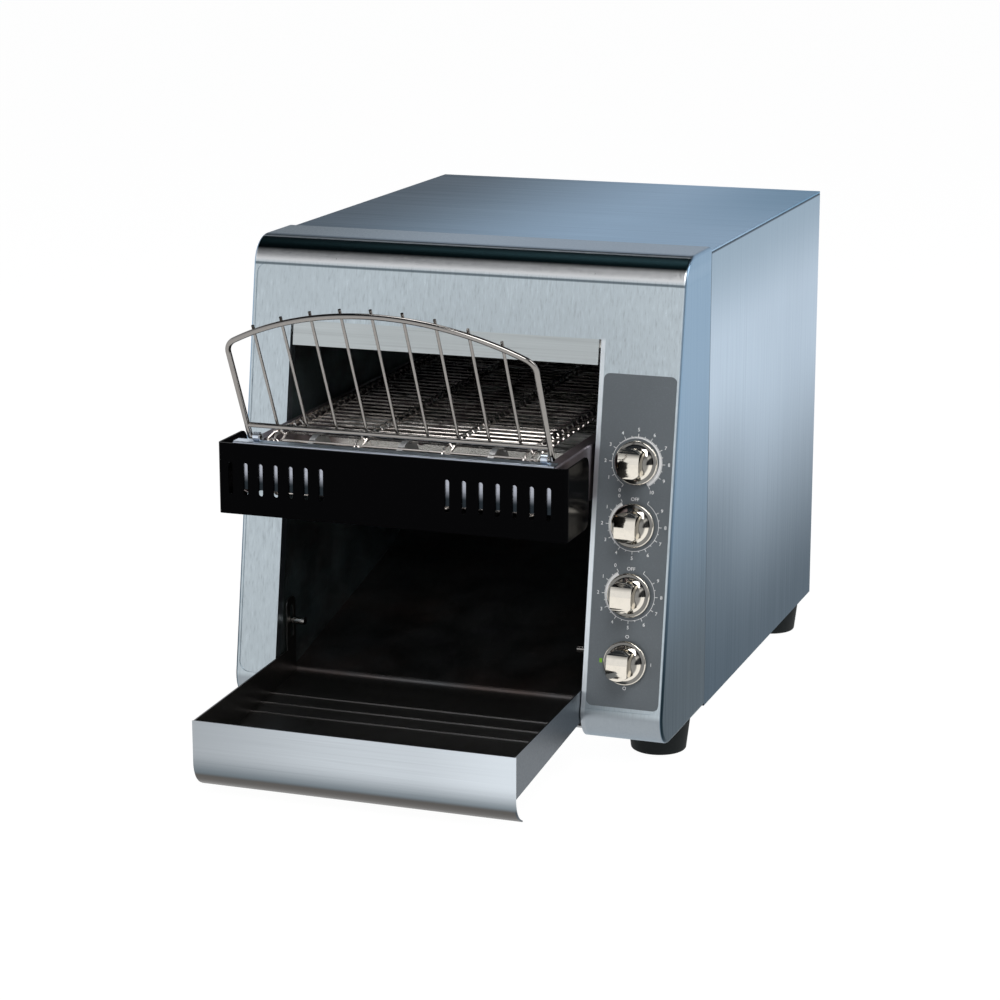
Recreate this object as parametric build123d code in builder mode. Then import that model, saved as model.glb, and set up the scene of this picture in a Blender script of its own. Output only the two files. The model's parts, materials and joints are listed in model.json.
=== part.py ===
from build123d import *
import os
from math import atan2, cos, degrees, pi, radians, sin, sqrt, tan

os.makedirs("parts", exist_ok=True)

# A countertop conveyor toaster. +X is to the operator's right, +Y to the rear, +Z up.
# The origin is on the counter, under the middle of the machine. All sizes in mm.

# ---------------------------------------------------------------- casing
body_width = 368.0
body_height = 406.0
foot_height = 25.0
side_depth = 374.0            # side panels, from their seam with the fascia to the rear
tray_front_reach = 281.0      # discharge tray's face, ahead of that seam
gland_proud = 8.0             # cord gland, behind the rear panel
skin = 1.5                    # outer sheet
fascia_reach = 129.0          # unrounded foot of the fascia, ahead of the seam
fascia_lean = 9.1             # degrees, leaning back
fascia_proud = 2.5            # top of the fascia above the top cover
fascia_bend = 25.0
fascia_edge_round = 3.0
field_recess = 0.7            # pressed front field
field_rim = 3.5
field_corner = 9.0
left_post = 35.5
right_post = 67.3
opening_top = 343.0
mouth_depth = 40.0            # how far the opening is cut into the fascia
lip_depth = 12.0              # folded edges of the opening
lintel_drop = 20.0
lintel_overlap = 12.0
lintel_sheet = 1.2
pan_sheet = 1.5
pan_upstand = 18.0
top_flange = 14.0
bend_round = 1.4
foot_radius = 25.5
foot_bottom_radius = 22.5
foot_bottom_round = 2.0
foot_inset = 26.0             # foot centres, in from the sides
foot_screw_head_z = 9.0
foot_counterbore_gap = 2.0    # round the screw heads
front_foot_reach = 43.0       # ahead of the seam
rear_foot_reach = 326.0       # behind the seam
rear_screw_inset = 10.0       # from the rear panel's sides and foot

# ---------------------------------------------------------------- toasting tunnel
inner_sheet = 1.2
ceiling_z = 355.0
ceiling_flange = 10.0
wall_foot_short = 60.0        # feet of the walls, short of the casing's ends
plate_sheet = 2.0
plate_gap = 2.0               # conveyor side plates, in from the opening's edges
plate_top = 262.2
plate_bottom = 217.2
plate_flange = 10.0
plate_tail = 30.0             # behind the drive shaft
plate_nose_length = 26.0      # cut off the plates' lower front corners
plate_nose_height = 12.0
spacer_places = (-60.0, 80.0, 180.0)        # behind the seam
spacer_tail = 12.0            # last spacer, ahead of the plates' rear ends
spacer_lift = 10.0            # above the plates' lower edges
spacer_radius = 5.0
front_bar_reach = 195.0       # face of the conveyor's front bar, ahead of the seam
front_bar_sheet = 1.5
front_bar_top = 266.2
front_bar_depth = 11.0
front_bar_web = 38.0
belt_pitch = 12.7
belt_teeth = 12
belt_run_pitches = 34
belt_wire = 2.0               # diameter
belt_top = 268.2              # axis of the wires in the upper run
belt_front_reach = 185.0      # axis of the foremost wire, ahead of the seam
belt_left_margin = 19.0       # belt edges, in from the opening's edges
belt_right_margin = 19.0
belt_links = 4
link_wire = 1.6
shaft_radius = 4.0
shaft_proud = 2.0             # outside the conveyor's side plates
shaft_chamfer = 0.6
shaft_hole_gap = 3.0          # round a shaft that passes through a wall
running_fit = 0.05
bush_radius = 7.0
bush_flange_radius = 10.0
bush_flange = 2.0
sprockets_per_shaft = 3
sprocket_width = 5.0
sprocket_hub_radius = 9.0
sprocket_hub_width = 14.0
sprocket_tip = 0.9            # tooth tips outside the wires' circle
wire_seat_gap = 0.35
rail_count = 3
rail_width = 3.0
rail_height = 8.0
rail_gap = 0.3
rail_margin = 19.5            # outer rails, in from the belt's edges
rail_end_gap = 30.0           # rails' ends, short of the shafts
tie_radius = 3.0
tie_places = (30.0, 130.0, 230.0)           # behind the seam
tie_sink = 0.8                # welded into the rails above
upper_tubes = 4
lower_tubes = 3
tube_radius = 5.0
tube_wall = 1.0
coil_wire = 1.2
upper_tube_z = 315.0
lower_tube_z = 248.2
upper_first = 5.0             # first tubes, behind the seam
upper_spacing = 72.0
lower_first = -20.0
lower_spacing = 100.0
cap_radius = 8.0
cap_length = 16.0
cap_wire_radius = 1.5
cap_wire_length = 10.0
tube_hole_gap = 0.3
tube_pass_gap = 2.0           # in the conveyor's side plates
reflector_sheet = 0.8
upper_reflector_z = 334.0
lower_reflector_z = 234.2
reflector_lip = 8.0
reflector_margin = 30.0       # beyond the outermost tubes

# ---------------------------------------------------------------- discharge
chute_sheet = 1.2
chute_front_reach = 83.0
chute_front_z = 49.0
chute_mid = (145.0, 98.0)     # behind the seam, height
chute_back_gap = 18.0         # in front of the rear panel
chute_knee_z = 194.0
chute_top_z = 312.0
chute_bends = (3.0, 140.0, 95.0)
tray_sheet = 1.2
tray_side_gap = 0.6           # tray walls, in from the opening's edges
tray_lip_top = 62.6
tray_front_low = 29.0         # where the tray's face starts to curl under
tray_floor_front_z = 28.4
tray_floor_back_z = 44.5
tray_wall_back_z = 68.0
tray_back_gap = 0.4           # behind the tray, to the chute
tray_curl_reach = 13.0
tray_curl_z = 8.0
tray_hem = 3.0
tray_rib_count = 3
tray_rib_spacing = 20.0
tray_rib_first = 52.0         # ahead of the tray's rear edge
tray_rib_radius = 1.0
ear_width = 17.0
ear_round = 6.0
ear_top = 112.0
pin_radius = 3.0
pin_z = 92.0
pin_reach = 15.0
pin_offset = 1.5              # behind the ears' middles
slot_gap = 0.5
slot_up = 14.0                # slot above the pin's axis
slot_down = 15.0
rest_radius = 2.5
rest_reach = 14.0
rest_gap = 0.3

# ---------------------------------------------------------------- guard and rack
guard_left_overhang = 12.5    # past the opening's edges
guard_right_overhang = 11.7
guard_sheet = 1.5
guard_top = 264.7
guard_bottom = 207.7
guard_return = 52.8
guard_bend = 3.0
guard_corner = 9.0
guard_slots = 7
guard_slot_width = 3.8
guard_slot_length = 26.0
guard_slot_z = 236.5
left_slot_start = 10.6        # first slot centre from the guard's left edge
left_slot_pitch = 12.8
right_slot_start = 15.1
right_slot_pitch = 13.7
standoff_radius = 4.0
rack_reach = 188.0            # hinge axis ahead of the seam
rack_lift = 3.6               # hinge axis above the front bar
rack_lean = 26.6              # degrees, leaning forwards
rack_left_inset = 12.0        # rack feet, in from the opening's edges
rack_right_inset = 3.5
rack_leg = 90.0
rack_arch = 34.5
rack_knee_round = 14.0
rack_wire_radius = 2.25
rack_bar_radius = 1.2
rack_base_radius = 2.0
rack_base_height = 11.5
rack_bars = 9
rack_bar_pitch = 25.1
rack_bar_tip = 4.0
rack_weld = 0.3
rack_pivot_length = 9.0
clip_sheet = 1.2
clip_width = 5.0
clip_fit = 0.08
clip_side_gap = 1.0

# ---------------------------------------------------------------- controls
overlay_sheet = 0.5
overlay_right_gap = 3.5
overlay_left_gap = 4.0
overlay_bottom = 57.0
overlay_top = 317.5
overlay_corner = 5.0
knob_heights = (249.5, 200.6, 146.2, 93.0)
knob_names = ("speed", "top_heat", "bottom_heat", "power")
knob_side = 32.2              # knob axes, in from the right side
knob_gap = 0.8
knob_flange_radius = 17.6
knob_flange = 4.0
knob_height = 25.0
knob_grip_radius = 12.0
knob_grip_width = 17.0
knob_scoop_depth = 2.0
knob_cavity_gap = 1.5         # between the knob and the nut under it
knob_bore_depth = 15.0
spindle_radius = 3.0
bushing_radius = 4.7
bushing_proud = 5.0
bushing_hole = 5.0
nut_radius = 7.5
nut_height = 2.2
control_sizes = ((26.0, 26.0, 14.0), (36.0, 36.0, 26.0), (36.0, 36.0, 26.0), (34.0, 30.0, 38.0))
spindle_depth = 10.0
spindle_end_gap = 1.0
control_corner = 2.0
tab_length = 7.0
tab_width = 6.3
tab_thickness = 0.8

# ---------------------------------------------------------------- drive and electrics
chain_pitch = 6.35
chain_teeth = 16              # even, so that both runs hold whole pitches
chain_run_pitches = 24
chain_angle = 232.0           # degrees, from the drive shaft down to the motor, seen from +X
chain_roller_radius = 1.65
chain_width = 3.1
chain_plate_radius = 2.7
chain_plate = 0.7
chain_plane_gap = 12.0        # chain's middle, outside the tunnel's right wall
chain_hub_radius = 8.0
chain_hub_width = 8.0
chain_sprocket_width = 2.6
chain_sprocket_tip = -0.6     # tooth tips, inside the pitch circle
chain_seat_gap = 0.2
gearbox_size = (22.0, 74.0, 62.0)
motor_radius = 20.0
motor_length = 17.0
gearbox_corner = 6.0
motor_shaft_sink = 12.0       # of the shaft inside the gearbox
bracket_sheet = 2.0
bracket_gap = 2.0             # from the motor sprocket's hub
bracket_hole_gap = 2.0        # round the motor shaft
bracket_foot = 24.0
fan_size = 92.0
fan_depth = 25.0
fan_bore = 43.0
fan_hub_radius = 19.0
fan_blades = 7
fan_blade_tip_gap = 2.0
fan_blade_thick = 1.6
fan_blade_pitch = 38.0        # degrees
fan_axle_radius = 2.5
fan_screw_pitch = 82.0
fan_corner = 5.0
fan_spider = 4.0
fan_running_gap = 1.0         # between the rotor and the frame, along the axle
fan_hub_gap = 0.5
fan_frame_wall = 3.0
fan_x = -60.0
fan_lift = 4.0                # fan frame above the base pan's rear edge
gland_inset = 34.0            # from the right side
gland_z = 62.0
gland_radius = 11.0
gland_bore = 4.2
gland_nut_radius = 14.0
gland_nut_thick = 5.0
gland_inside = 14.0           # ahead of the rear panel's face
block_size = (22.0, 60.0, 18.0)
block_reach = 288.0           # terminal block's middle, behind the seam
block_poles = 5
screw_radius = 2.0
screw_head_radius = 4.0
screw_head = 1.6
screw_length = 8.0
vent_length = 46.0
vent_width = 4.0
vent_rows = 6
vent_spacing = 10.0
vent_z = 334.0
vent_columns = 3
vent_column_spacing = 74.0
grille_rings = 5
grille_step = 8.0             # from ring to ring
grille_hole = 2.6             # radius

# ---------------------------------------------------------------- worked out from them
seam_y = (tray_front_reach - side_depth - gland_proud) / 2
rear_y = seam_y + side_depth
half_width = body_width / 2
opening_left = -half_width + left_post
opening_right = half_width - right_post
opening_mid = (opening_left + opening_right) / 2
opening_width = opening_right - opening_left
lean = radians(fascia_lean)
fascia_top = body_height + fascia_proud
cover_underside = body_height - skin
pan_top = foot_height + pan_sheet
wall_left = opening_left - skin          # inner faces of the tunnel's walls
wall_right = opening_right + skin
wall_mid = (wall_left + wall_right) / 2
wall_span = wall_right - wall_left
plate_left = opening_left + plate_gap    # outer faces of the conveyor's side plates
plate_right = opening_right - plate_gap
spare = 20.0                             # cutters run this far past what they cut


def fascia_y(z):
    """Where the fascia's unrounded front face stands at height z."""
    return seam_y - fascia_reach + (z - foot_height) * tan(lean)


def on_fascia(x, z, depth=0.0):
    """Plane on the front face at (x, z), or that deep behind it, looking out of the machine."""
    outward = Vector(0, -cos(lean), sin(lean))
    return Plane(origin=Vector(x, fascia_y(z), z) - outward * depth, x_dir=(1, 0, 0), z_dir=outward)


def save(builder, name):
    """Label a finished piece and write it to its own file."""
    builder.part.label = name
    export_step(builder.part, f"parts/{name}.step")


# ================================================================ casing
def fascia_outline(inset):
    """Side view of the fascia, inset from its outer skin and running on past the seam."""
    with BuildSketch(Plane.YZ) as outline:
        with BuildLine():
            Polyline(
                (seam_y + spare, foot_height),
                (fascia_y(foot_height), foot_height),
                (fascia_y(fascia_top), fascia_top),
                (seam_y + spare, fascia_top),
                close=True,
            )
        make_face()
        fillet(outline.vertices().sort_by(Axis.X)[:2], radius=fascia_bend)
        if inset:
            offset(amount=-inset)
    return outline.sketch


pan_front_y = fascia_y(foot_height) + mouth_depth
crease_rise = fascia_bend * tan(radians(90 + fascia_lean) / 2) * cos(lean)
crease_low_z = foot_height + crease_rise
crease_high_z = fascia_top - fascia_bend * tan(radians(90 - fascia_lean) / 2) * cos(lean)
knob_x = half_width - knob_side

with BuildPart() as front_fascia:
    extrude(fascia_outline(0), amount=half_width, both=True)
    side_edges = front_fascia.faces().filter_by(Axis.X).edges()
    fillet(side_edges.filter_by(lambda e: e.center().Y < seam_y + spare - 1), fascia_edge_round)
    extrude(fascia_outline(skin), amount=half_width - skin, both=True, mode=Mode.SUBTRACT)
    # folded edges on both sides of the opening
    for lip_x in (opening_left - skin, opening_right):
        with BuildSketch(Plane.YZ.offset(lip_x)) as lip:
            add(Plane.YZ.to_local_coords(fascia_outline(0)))
            add(Plane.YZ.to_local_coords(fascia_outline(lip_depth)), mode=Mode.SUBTRACT)
            with Locations((seam_y, fascia_top)):
                Rectangle(2 * fascia_reach + spare, 2 * (fascia_top - opening_top), mode=Mode.SUBTRACT)
            with Locations((pan_front_y + fascia_reach, foot_height)):
                Rectangle(2 * fascia_reach, 2 * lip_depth + skin, mode=Mode.SUBTRACT)
        extrude(amount=skin)
    # the opening, through the front and on down through the bottom
    mouth_height = (opening_top - foot_height) / cos(lean) + spare
    with BuildSketch(on_fascia(opening_mid, opening_top, mouth_depth * cos(lean))):
        with Locations((0, -mouth_height / 2)):
            Rectangle(opening_width, mouth_height)
    extrude(amount=mouth_depth + spare, mode=Mode.SUBTRACT)
    # pressed field with a raised rim
    field_height = (crease_high_z - crease_low_z) / cos(lean)
    with BuildSketch(on_fascia(0, (crease_high_z + crease_low_z) / 2)) as field:
        RectangleRounded(body_width - 2 * field_rim, field_height, field_corner)
    extrude(amount=-field_recess, mode=Mode.SUBTRACT)
    # holes for the controls
    for knob_z in knob_heights:
        with BuildSketch(on_fascia(knob_x, knob_z, 2 * skin)):
            Circle(bushing_hole)
        extrude(amount=3 * skin, mode=Mode.SUBTRACT)
    # open back and, behind the opening's mouth, open bottom
    with BuildSketch(Plane.XY.offset(foot_height - spare)):
        with Locations((0, pan_front_y + fascia_reach)):
            Rectangle(body_width - 2 * skin, 2 * fascia_reach)
    extrude(amount=spare + 2 * skin, mode=Mode.SUBTRACT)
    split(bisect_by=Plane.XZ.offset(-seam_y), keep=Keep.TOP)
save(front_fascia, "front_fascia")

with BuildPart() as lintel_strip:
    lintel_height = (lintel_drop + lintel_overlap) / cos(lean)
    with BuildSketch(on_fascia(opening_mid, opening_top - lintel_drop, skin)):
        with Locations((0, lintel_height / 2)):
            Rectangle(opening_width - 2 * plate_gap, lintel_height)
    extrude(amount=-lintel_sheet)
    with BuildSketch(on_fascia(opening_mid, opening_top - lintel_drop, skin)):
        with Locations((0, lintel_sheet / 2)):
            Rectangle(opening_width - 2 * plate_gap, lintel_sheet)
    extrude(amount=-lip_depth)
save(lintel_strip, "lintel_strip")

with BuildPart() as top_cover:
    with BuildSketch(Plane.XY.offset(cover_underside)):
        with Locations((0, seam_y + side_depth / 2)):
            Rectangle(body_width, side_depth)
    extrude(amount=skin)
    # front and rear tongues folded down inside the casing
    with BuildSketch(Plane.XY.offset(cover_underside)):
        with Locations((0, seam_y + skin / 2), (0, rear_y - 3 * skin / 2)):
            Rectangle(body_width - 2 * skin - 2 * top_flange, skin)
    extrude(amount=-top_flange)
    fillet(top_cover.edges().group_by(Axis.Z)[-1].filter_by(Axis.Y), bend_round / 2)
save(top_cover, "top_cover")


def side_panel(side):
    """One outer side, its top edge folded inwards under the cover; side is -1 or 1."""
    with BuildPart() as panel:
        with BuildSketch(Plane.XZ.offset(-seam_y)):
            with Locations((side * (half_width - skin / 2), (foot_height + cover_underside) / 2)):
                Rectangle(skin, cover_underside - foot_height)
        extrude(amount=-side_depth)
        with BuildSketch(Plane.XZ.offset(-seam_y)):
            with Locations((side * (half_width - top_flange / 2), cover_underside - skin / 2)):
                Rectangle(top_flange, skin)
        extrude(amount=skin - side_depth)
        outer_top = panel.edges().filter_by(Axis.Y).group_by(Axis.Z)[-1].sort_by(Axis.X)
        fillet(outer_top[-1 if side > 0 else 0], bend_round)
    return panel


save(side_panel(-1), "left_side_panel")
save(side_panel(1), "right_side_panel")

rear_half_width = half_width - skin
low_screw_z = foot_height + rear_screw_inset
rear_screws = [
    (side * (rear_half_width - rear_screw_inset), z)
    for side in (-1, 1)
    for z in (low_screw_z, body_height / 2, cover_underside - 2 * screw_length)
]
foot_places = [
    (side * (half_width - foot_inset), seam_y + reach)
    for side in (-1, 1)
    for reach in (-front_foot_reach, rear_foot_reach)
]
with BuildPart() as base_pan:
    with BuildSketch(Plane.XY.offset(foot_height)):
        with Locations((0, (pan_front_y + rear_y - skin) / 2)):
            Rectangle(2 * rear_half_width, rear_y - skin - pan_front_y)
    extrude(amount=pan_sheet)
    with BuildSketch(Plane.XY.offset(foot_height)):
        for side in (-1, 1):
            with Locations((side * (rear_half_width - pan_sheet / 2), seam_y + side_depth / 2)):
                Rectangle(pan_sheet, side_depth - 2 * skin)
        with Locations((0, rear_y - skin - pan_sheet / 2)):
            Rectangle(2 * rear_half_width, pan_sheet)
    extrude(amount=pan_upstand)
    # holes for the screws of the feet and of the rear panel
    with BuildSketch(Plane.XY.offset(foot_height)):
        with Locations(*foot_places):
            Circle(screw_radius)
    extrude(amount=pan_sheet, mode=Mode.SUBTRACT)
    with BuildSketch(Plane.XZ.offset(skin - rear_y)):
        with Locations(*[(x, z) for x, z in rear_screws if z == low_screw_z]):
            Circle(screw_radius)
    extrude(amount=pan_sheet, mode=Mode.SUBTRACT)
save(base_pan, "base_pan")

fan_z = foot_height + pan_upstand + fan_lift + fan_size / 2
fan_screws = [
    (fan_x + i * fan_screw_pitch / 2, fan_z + j * fan_screw_pitch / 2) for i in (-1, 1) for j in (-1, 1)
]
with BuildPart() as rear_panel:
    with BuildSketch(Plane.XZ.offset(-rear_y)):
        with Locations((0, (foot_height + cover_underside) / 2)):
            Rectangle(2 * rear_half_width, cover_underside - foot_height)
        # round field of small holes over the fan
        with Locations((fan_x, fan_z)):
            Circle(grille_hole, mode=Mode.SUBTRACT)
        for ring in range(1, grille_rings + 1):
            with Locations((fan_x, fan_z)):
                with PolarLocations(ring * grille_step, 6 * ring):
                    Circle(grille_hole, mode=Mode.SUBTRACT)
        # rows of slots that let the heat out at the top
        with Locations((0, vent_z)):
            with GridLocations(vent_column_spacing, vent_spacing, vent_columns, vent_rows):
                SlotOverall(vent_length, vent_width, mode=Mode.SUBTRACT)
        with Locations((half_width - gland_inset, gland_z)):
            Circle(gland_radius, mode=Mode.SUBTRACT)
        with Locations(*rear_screws, *fan_screws):
            Circle(screw_radius, mode=Mode.SUBTRACT)
    extrude(amount=skin)
save(rear_panel, "rear_panel")

for foot_name, side, reach in (
    ("front_left_foot", -1, -front_foot_reach),
    ("front_right_foot", 1, -front_foot_reach),
    ("rear_left_foot", -1, rear_foot_reach),
    ("rear_right_foot", 1, rear_foot_reach),
):
    foot_x = side * (half_width - foot_inset)
    with BuildPart() as foot:
        with BuildSketch(Plane(origin=(foot_x, seam_y + reach, 0))):
            Circle(foot_bottom_radius)
        with BuildSketch(Plane(origin=(foot_x, seam_y + reach, foot_height))):
            Circle(foot_radius)
        loft()
        fillet(foot.edges().group_by(Axis.Z)[0], foot_bottom_round)
        with Locations((foot_x, seam_y + reach, foot_screw_head_z)):
            Cylinder(screw_head_radius + foot_counterbore_gap, foot_screw_head_z, mode=Mode.SUBTRACT,
                     align=(Align.CENTER, Align.CENTER, Align.MAX))
            Cylinder(screw_radius, foot_height, mode=Mode.SUBTRACT,
                     align=(Align.CENTER, Align.CENTER, Align.MIN))
    save(foot, foot_name)


# ================================================================ conveyor geometry
belt_radius = belt_pitch / (2 * sin(pi / belt_teeth))
shaft_z = belt_top - belt_radius
idler_y = seam_y - belt_front_reach + belt_radius
drive_y = idler_y + belt_run_pitches * belt_pitch
belt_left = opening_left + belt_left_margin
belt_right = opening_right - belt_right_margin
belt_mid = (belt_left + belt_right) / 2
belt_width = belt_right - belt_left
link_spacing = belt_width / (belt_links - 1) - link_wire / 2
chain_x = wall_right + chain_plane_gap
chain_radius = chain_pitch / (2 * sin(pi / chain_teeth))
chain_run = chain_run_pitches * chain_pitch
motor_y = drive_y + chain_run * cos(radians(chain_angle))
motor_z = shaft_z + chain_run * sin(radians(chain_angle))
tube_left = wall_left - inner_sheet
tube_right = wall_right + inner_sheet
upper_tube_ys = [seam_y + upper_first + i * upper_spacing for i in range(upper_tubes)]
lower_tube_ys = [seam_y + lower_first + i * lower_spacing for i in range(lower_tubes)]
tube_places = [(y, upper_tube_z) for y in upper_tube_ys] + [(y, lower_tube_z) for y in lower_tube_ys]
tie_ys = [seam_y + place for place in tie_places]
rail_top = belt_top - belt_wire / 2 - rail_gap
tie_z = rail_top - rail_height - tie_radius + tie_sink
plate_front_y = seam_y - front_bar_reach + front_bar_sheet
plate_back_y = drive_y + plate_tail
spacer_ys = [seam_y + place for place in spacer_places] + [plate_back_y - spacer_tail]
spacer_z = plate_bottom + spacer_lift


def loop_places(first, last, radius, pitch, run_pitches, teeth):
    """Points (y, z) one pitch apart round two equal wheels with an even number of teeth."""
    angle = atan2(last[1] - first[1], last[0] - first[0])
    along = Vector(cos(angle), sin(angle))
    across = Vector(-sin(angle), cos(angle))
    start, end = Vector(*first), Vector(*last)
    half = [start + across * radius + along * (i * pitch) for i in range(run_pitches)]
    for i in range(teeth // 2):
        turn = 2 * pi * i / teeth
        half.append(end + across * (radius * cos(turn)) + along * (radius * sin(turn)))
    return [(p.X, p.Y) for p in half] + [((start + end - p).X, (start + end - p).Y) for p in half]


def wheel_loop(first, last, radius, mode=Mode.ADD):
    """Sketch the area inside a line round two equal wheels."""
    angle = degrees(atan2(last[1] - first[1], last[0] - first[0]))
    span = sqrt((last[0] - first[0]) ** 2 + (last[1] - first[1]) ** 2)
    with Locations(((first[0] + last[0]) / 2, (first[1] + last[1]) / 2)):
        SlotCenterToCenter(span, 2 * radius, rotation=angle, mode=mode)


def toothed_disc(x, centre, radius, teeth, seat_radius, tip, width, seat_angle=90):
    """Disc with round seats on its pitch circle, the first one at seat_angle."""
    with BuildSketch(Plane.YZ.offset(x - width / 2)) as disc:
        with Locations(centre):
            Circle(radius + tip)
            with PolarLocations(radius, teeth, start_angle=seat_angle):
                Circle(seat_radius, mode=Mode.SUBTRACT)
    extrude(disc.sketch, amount=width)


# ================================================================ tunnel walls
def tunnel_wall(inner_x, side):
    """One wall beside the conveyor; side is -1 on the left and 1 on the right."""
    front_skin = 2 * skin
    with BuildPart() as wall:
        with BuildSketch(Plane.YZ.offset(inner_x)):
            with BuildLine():
                Polyline(
                    (pan_front_y + skin, pan_top),
                    (fascia_y(crease_low_z) + front_skin, crease_low_z),
                    (fascia_y(ceiling_z) + front_skin, ceiling_z),
                    (rear_y - skin, ceiling_z),
                    (rear_y - skin, foot_height + pan_upstand),
                    (rear_y - skin - pan_sheet, foot_height + pan_upstand),
                    (rear_y - skin - pan_sheet, pan_top),
                    close=True,
                )
            make_face()
            with Locations(*tube_places):
                Circle(tube_radius + tube_hole_gap, mode=Mode.SUBTRACT)
            if side > 0:
                with Locations((drive_y, shaft_z)):
                    Circle(shaft_radius + shaft_hole_gap, mode=Mode.SUBTRACT)
        extrude(amount=side * inner_sheet)
        # foot flange that stands on the base pan
        with BuildSketch(Plane.XY.offset(pan_top)):
            with Locations((inner_x + side * ceiling_flange / 2, seam_y + side_depth / 2)):
                Rectangle(ceiling_flange, side_depth - 2 * wall_foot_short)
        extrude(amount=inner_sheet)
    return wall


save(tunnel_wall(wall_left, -1), "left_tunnel_wall")
save(tunnel_wall(wall_right, 1), "right_tunnel_wall")

with BuildPart() as tunnel_ceiling:
    ceiling_front = fascia_y(ceiling_z) + 2 * skin
    with BuildSketch(Plane.XY.offset(ceiling_z)):
        with Locations((wall_mid, (ceiling_front + rear_y - skin) / 2)):
            Rectangle(wall_span + 2 * inner_sheet, rear_y - skin - ceiling_front)
    extrude(amount=inner_sheet)
    # flanges down the outsides of the walls
    with BuildSketch(Plane.XY.offset(ceiling_z + inner_sheet)):
        for edge_x in (wall_left - 3 * inner_sheet / 2, wall_right + 3 * inner_sheet / 2):
            with Locations((edge_x, (ceiling_front + rear_y - skin) / 2)):
                Rectangle(inner_sheet, rear_y - skin - ceiling_front - 2 * ceiling_flange)
    extrude(amount=-ceiling_flange - inner_sheet)
save(tunnel_ceiling, "tunnel_ceiling")


# ================================================================ conveyor frame
def conveyor_plate(outer_x, side):
    """One side plate of the conveyor, its top edge folded inwards."""
    with BuildPart() as plate:
        with BuildSketch(Plane.YZ.offset(outer_x)):
            with BuildLine():
                Polyline(
                    (plate_front_y, plate_bottom + plate_nose_height),
                    (plate_front_y, plate_top),
                    (plate_back_y, plate_top),
                    (plate_back_y, plate_bottom),
                    (plate_front_y + plate_nose_length, plate_bottom),
                    close=True,
                )
            make_face()
            with Locations((idler_y, shaft_z), (drive_y, shaft_z)):
                Circle(bush_radius, mode=Mode.SUBTRACT)
            with Locations(*[(y, lower_tube_z) for y in lower_tube_ys]):
                Circle(tube_radius + tube_pass_gap, mode=Mode.SUBTRACT)
            with Locations(*[(y, tie_z) for y in tie_ys]):
                Circle(tie_radius, mode=Mode.SUBTRACT)
            with Locations(*[(y, spacer_z) for y in spacer_ys]):
                Circle(screw_radius, mode=Mode.SUBTRACT)
        extrude(amount=-side * plate_sheet)
        with BuildSketch(Plane.XY.offset(plate_top)):
            with Locations((outer_x - side * plate_flange / 2, (plate_front_y + plate_back_y) / 2)):
                Rectangle(plate_flange, plate_back_y - plate_front_y)
        extrude(amount=-plate_sheet)
        outer_edge = plate.edges().filter_by(Axis.Y).group_by(Axis.Z)[-1].sort_by(Axis.X)
        fillet(outer_edge[-1 if side > 0 else 0], plate_sheet * 0.9)
    return plate


save(conveyor_plate(plate_left, -1), "left_conveyor_plate")
save(conveyor_plate(plate_right, 1), "right_conveyor_plate")

with BuildPart() as front_bar:
    bar_face_y = seam_y - front_bar_reach
    with BuildSketch(Plane.YZ.offset(opening_left)):
        with BuildLine():
            Polyline(
                (bar_face_y, front_bar_top - front_bar_web),
                (bar_face_y, front_bar_top),
                (bar_face_y + front_bar_depth, front_bar_top),
                (bar_face_y + front_bar_depth, front_bar_top - front_bar_sheet),
                (bar_face_y + front_bar_sheet, front_bar_top - front_bar_sheet),
                (bar_face_y + front_bar_sheet, front_bar_top - front_bar_web),
                close=True,
            )
        make_face()
    extrude(amount=opening_width)
    front_edge = front_bar.edges().filter_by(Axis.X).group_by(Axis.Z)[-1].sort_by(Axis.Y)[0]
    fillet(front_edge, front_bar_sheet * 0.8)
save(front_bar, "conveyor_front_bar")


# ================================================================ belt and its shafts
idler_centre = (idler_y, shaft_z)
drive_centre = (drive_y, shaft_z)
belt_places = loop_places(idler_centre, drive_centre, belt_radius, belt_pitch, belt_run_pitches, belt_teeth)
with BuildPart() as conveyor_belt:
    with BuildSketch(Plane.YZ.offset(belt_left)):
        with Locations(*belt_places):
            Circle(belt_wire / 2)
    extrude(amount=belt_width)
    # closed strands that link the cross wires
    for link in range(belt_links):
        link_x = belt_mid + (link - (belt_links - 1) / 2) * link_spacing
        with BuildSketch(Plane.YZ.offset(link_x - link_wire / 2)):
            wheel_loop(idler_centre, drive_centre, belt_radius + link_wire / 2)
            wheel_loop(idler_centre, drive_centre, belt_radius - link_wire / 2, mode=Mode.SUBTRACT)
        extrude(amount=link_wire)
save(conveyor_belt, "conveyor_belt")

sprocket_middle = (sprockets_per_shaft - 1) / 2
sprocket_xs = [belt_mid + (i - sprocket_middle) * link_spacing for i in range(sprockets_per_shaft)]


def belt_sprockets(centre):
    """The set of belt sprockets on one shaft."""
    with BuildPart() as sprockets:
        for sprocket_x in sprocket_xs:
            toothed_disc(sprocket_x, centre, belt_radius, belt_teeth, belt_wire / 2 + wire_seat_gap,
                         sprocket_tip, sprocket_width)
            with BuildSketch(Plane.YZ.offset(sprocket_x - sprocket_hub_width / 2)):
                with Locations(centre):
                    Circle(sprocket_hub_radius)
            extrude(amount=sprocket_hub_width)
            with BuildSketch(Plane.YZ.offset(sprocket_x - sprocket_hub_width)):
                with Locations(centre):
                    Circle(shaft_radius)
            extrude(amount=2 * sprocket_hub_width, mode=Mode.SUBTRACT)
    return sprockets


save(belt_sprockets(idler_centre), "idler_sprockets")
save(belt_sprockets(drive_centre), "drive_sprockets")

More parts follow.
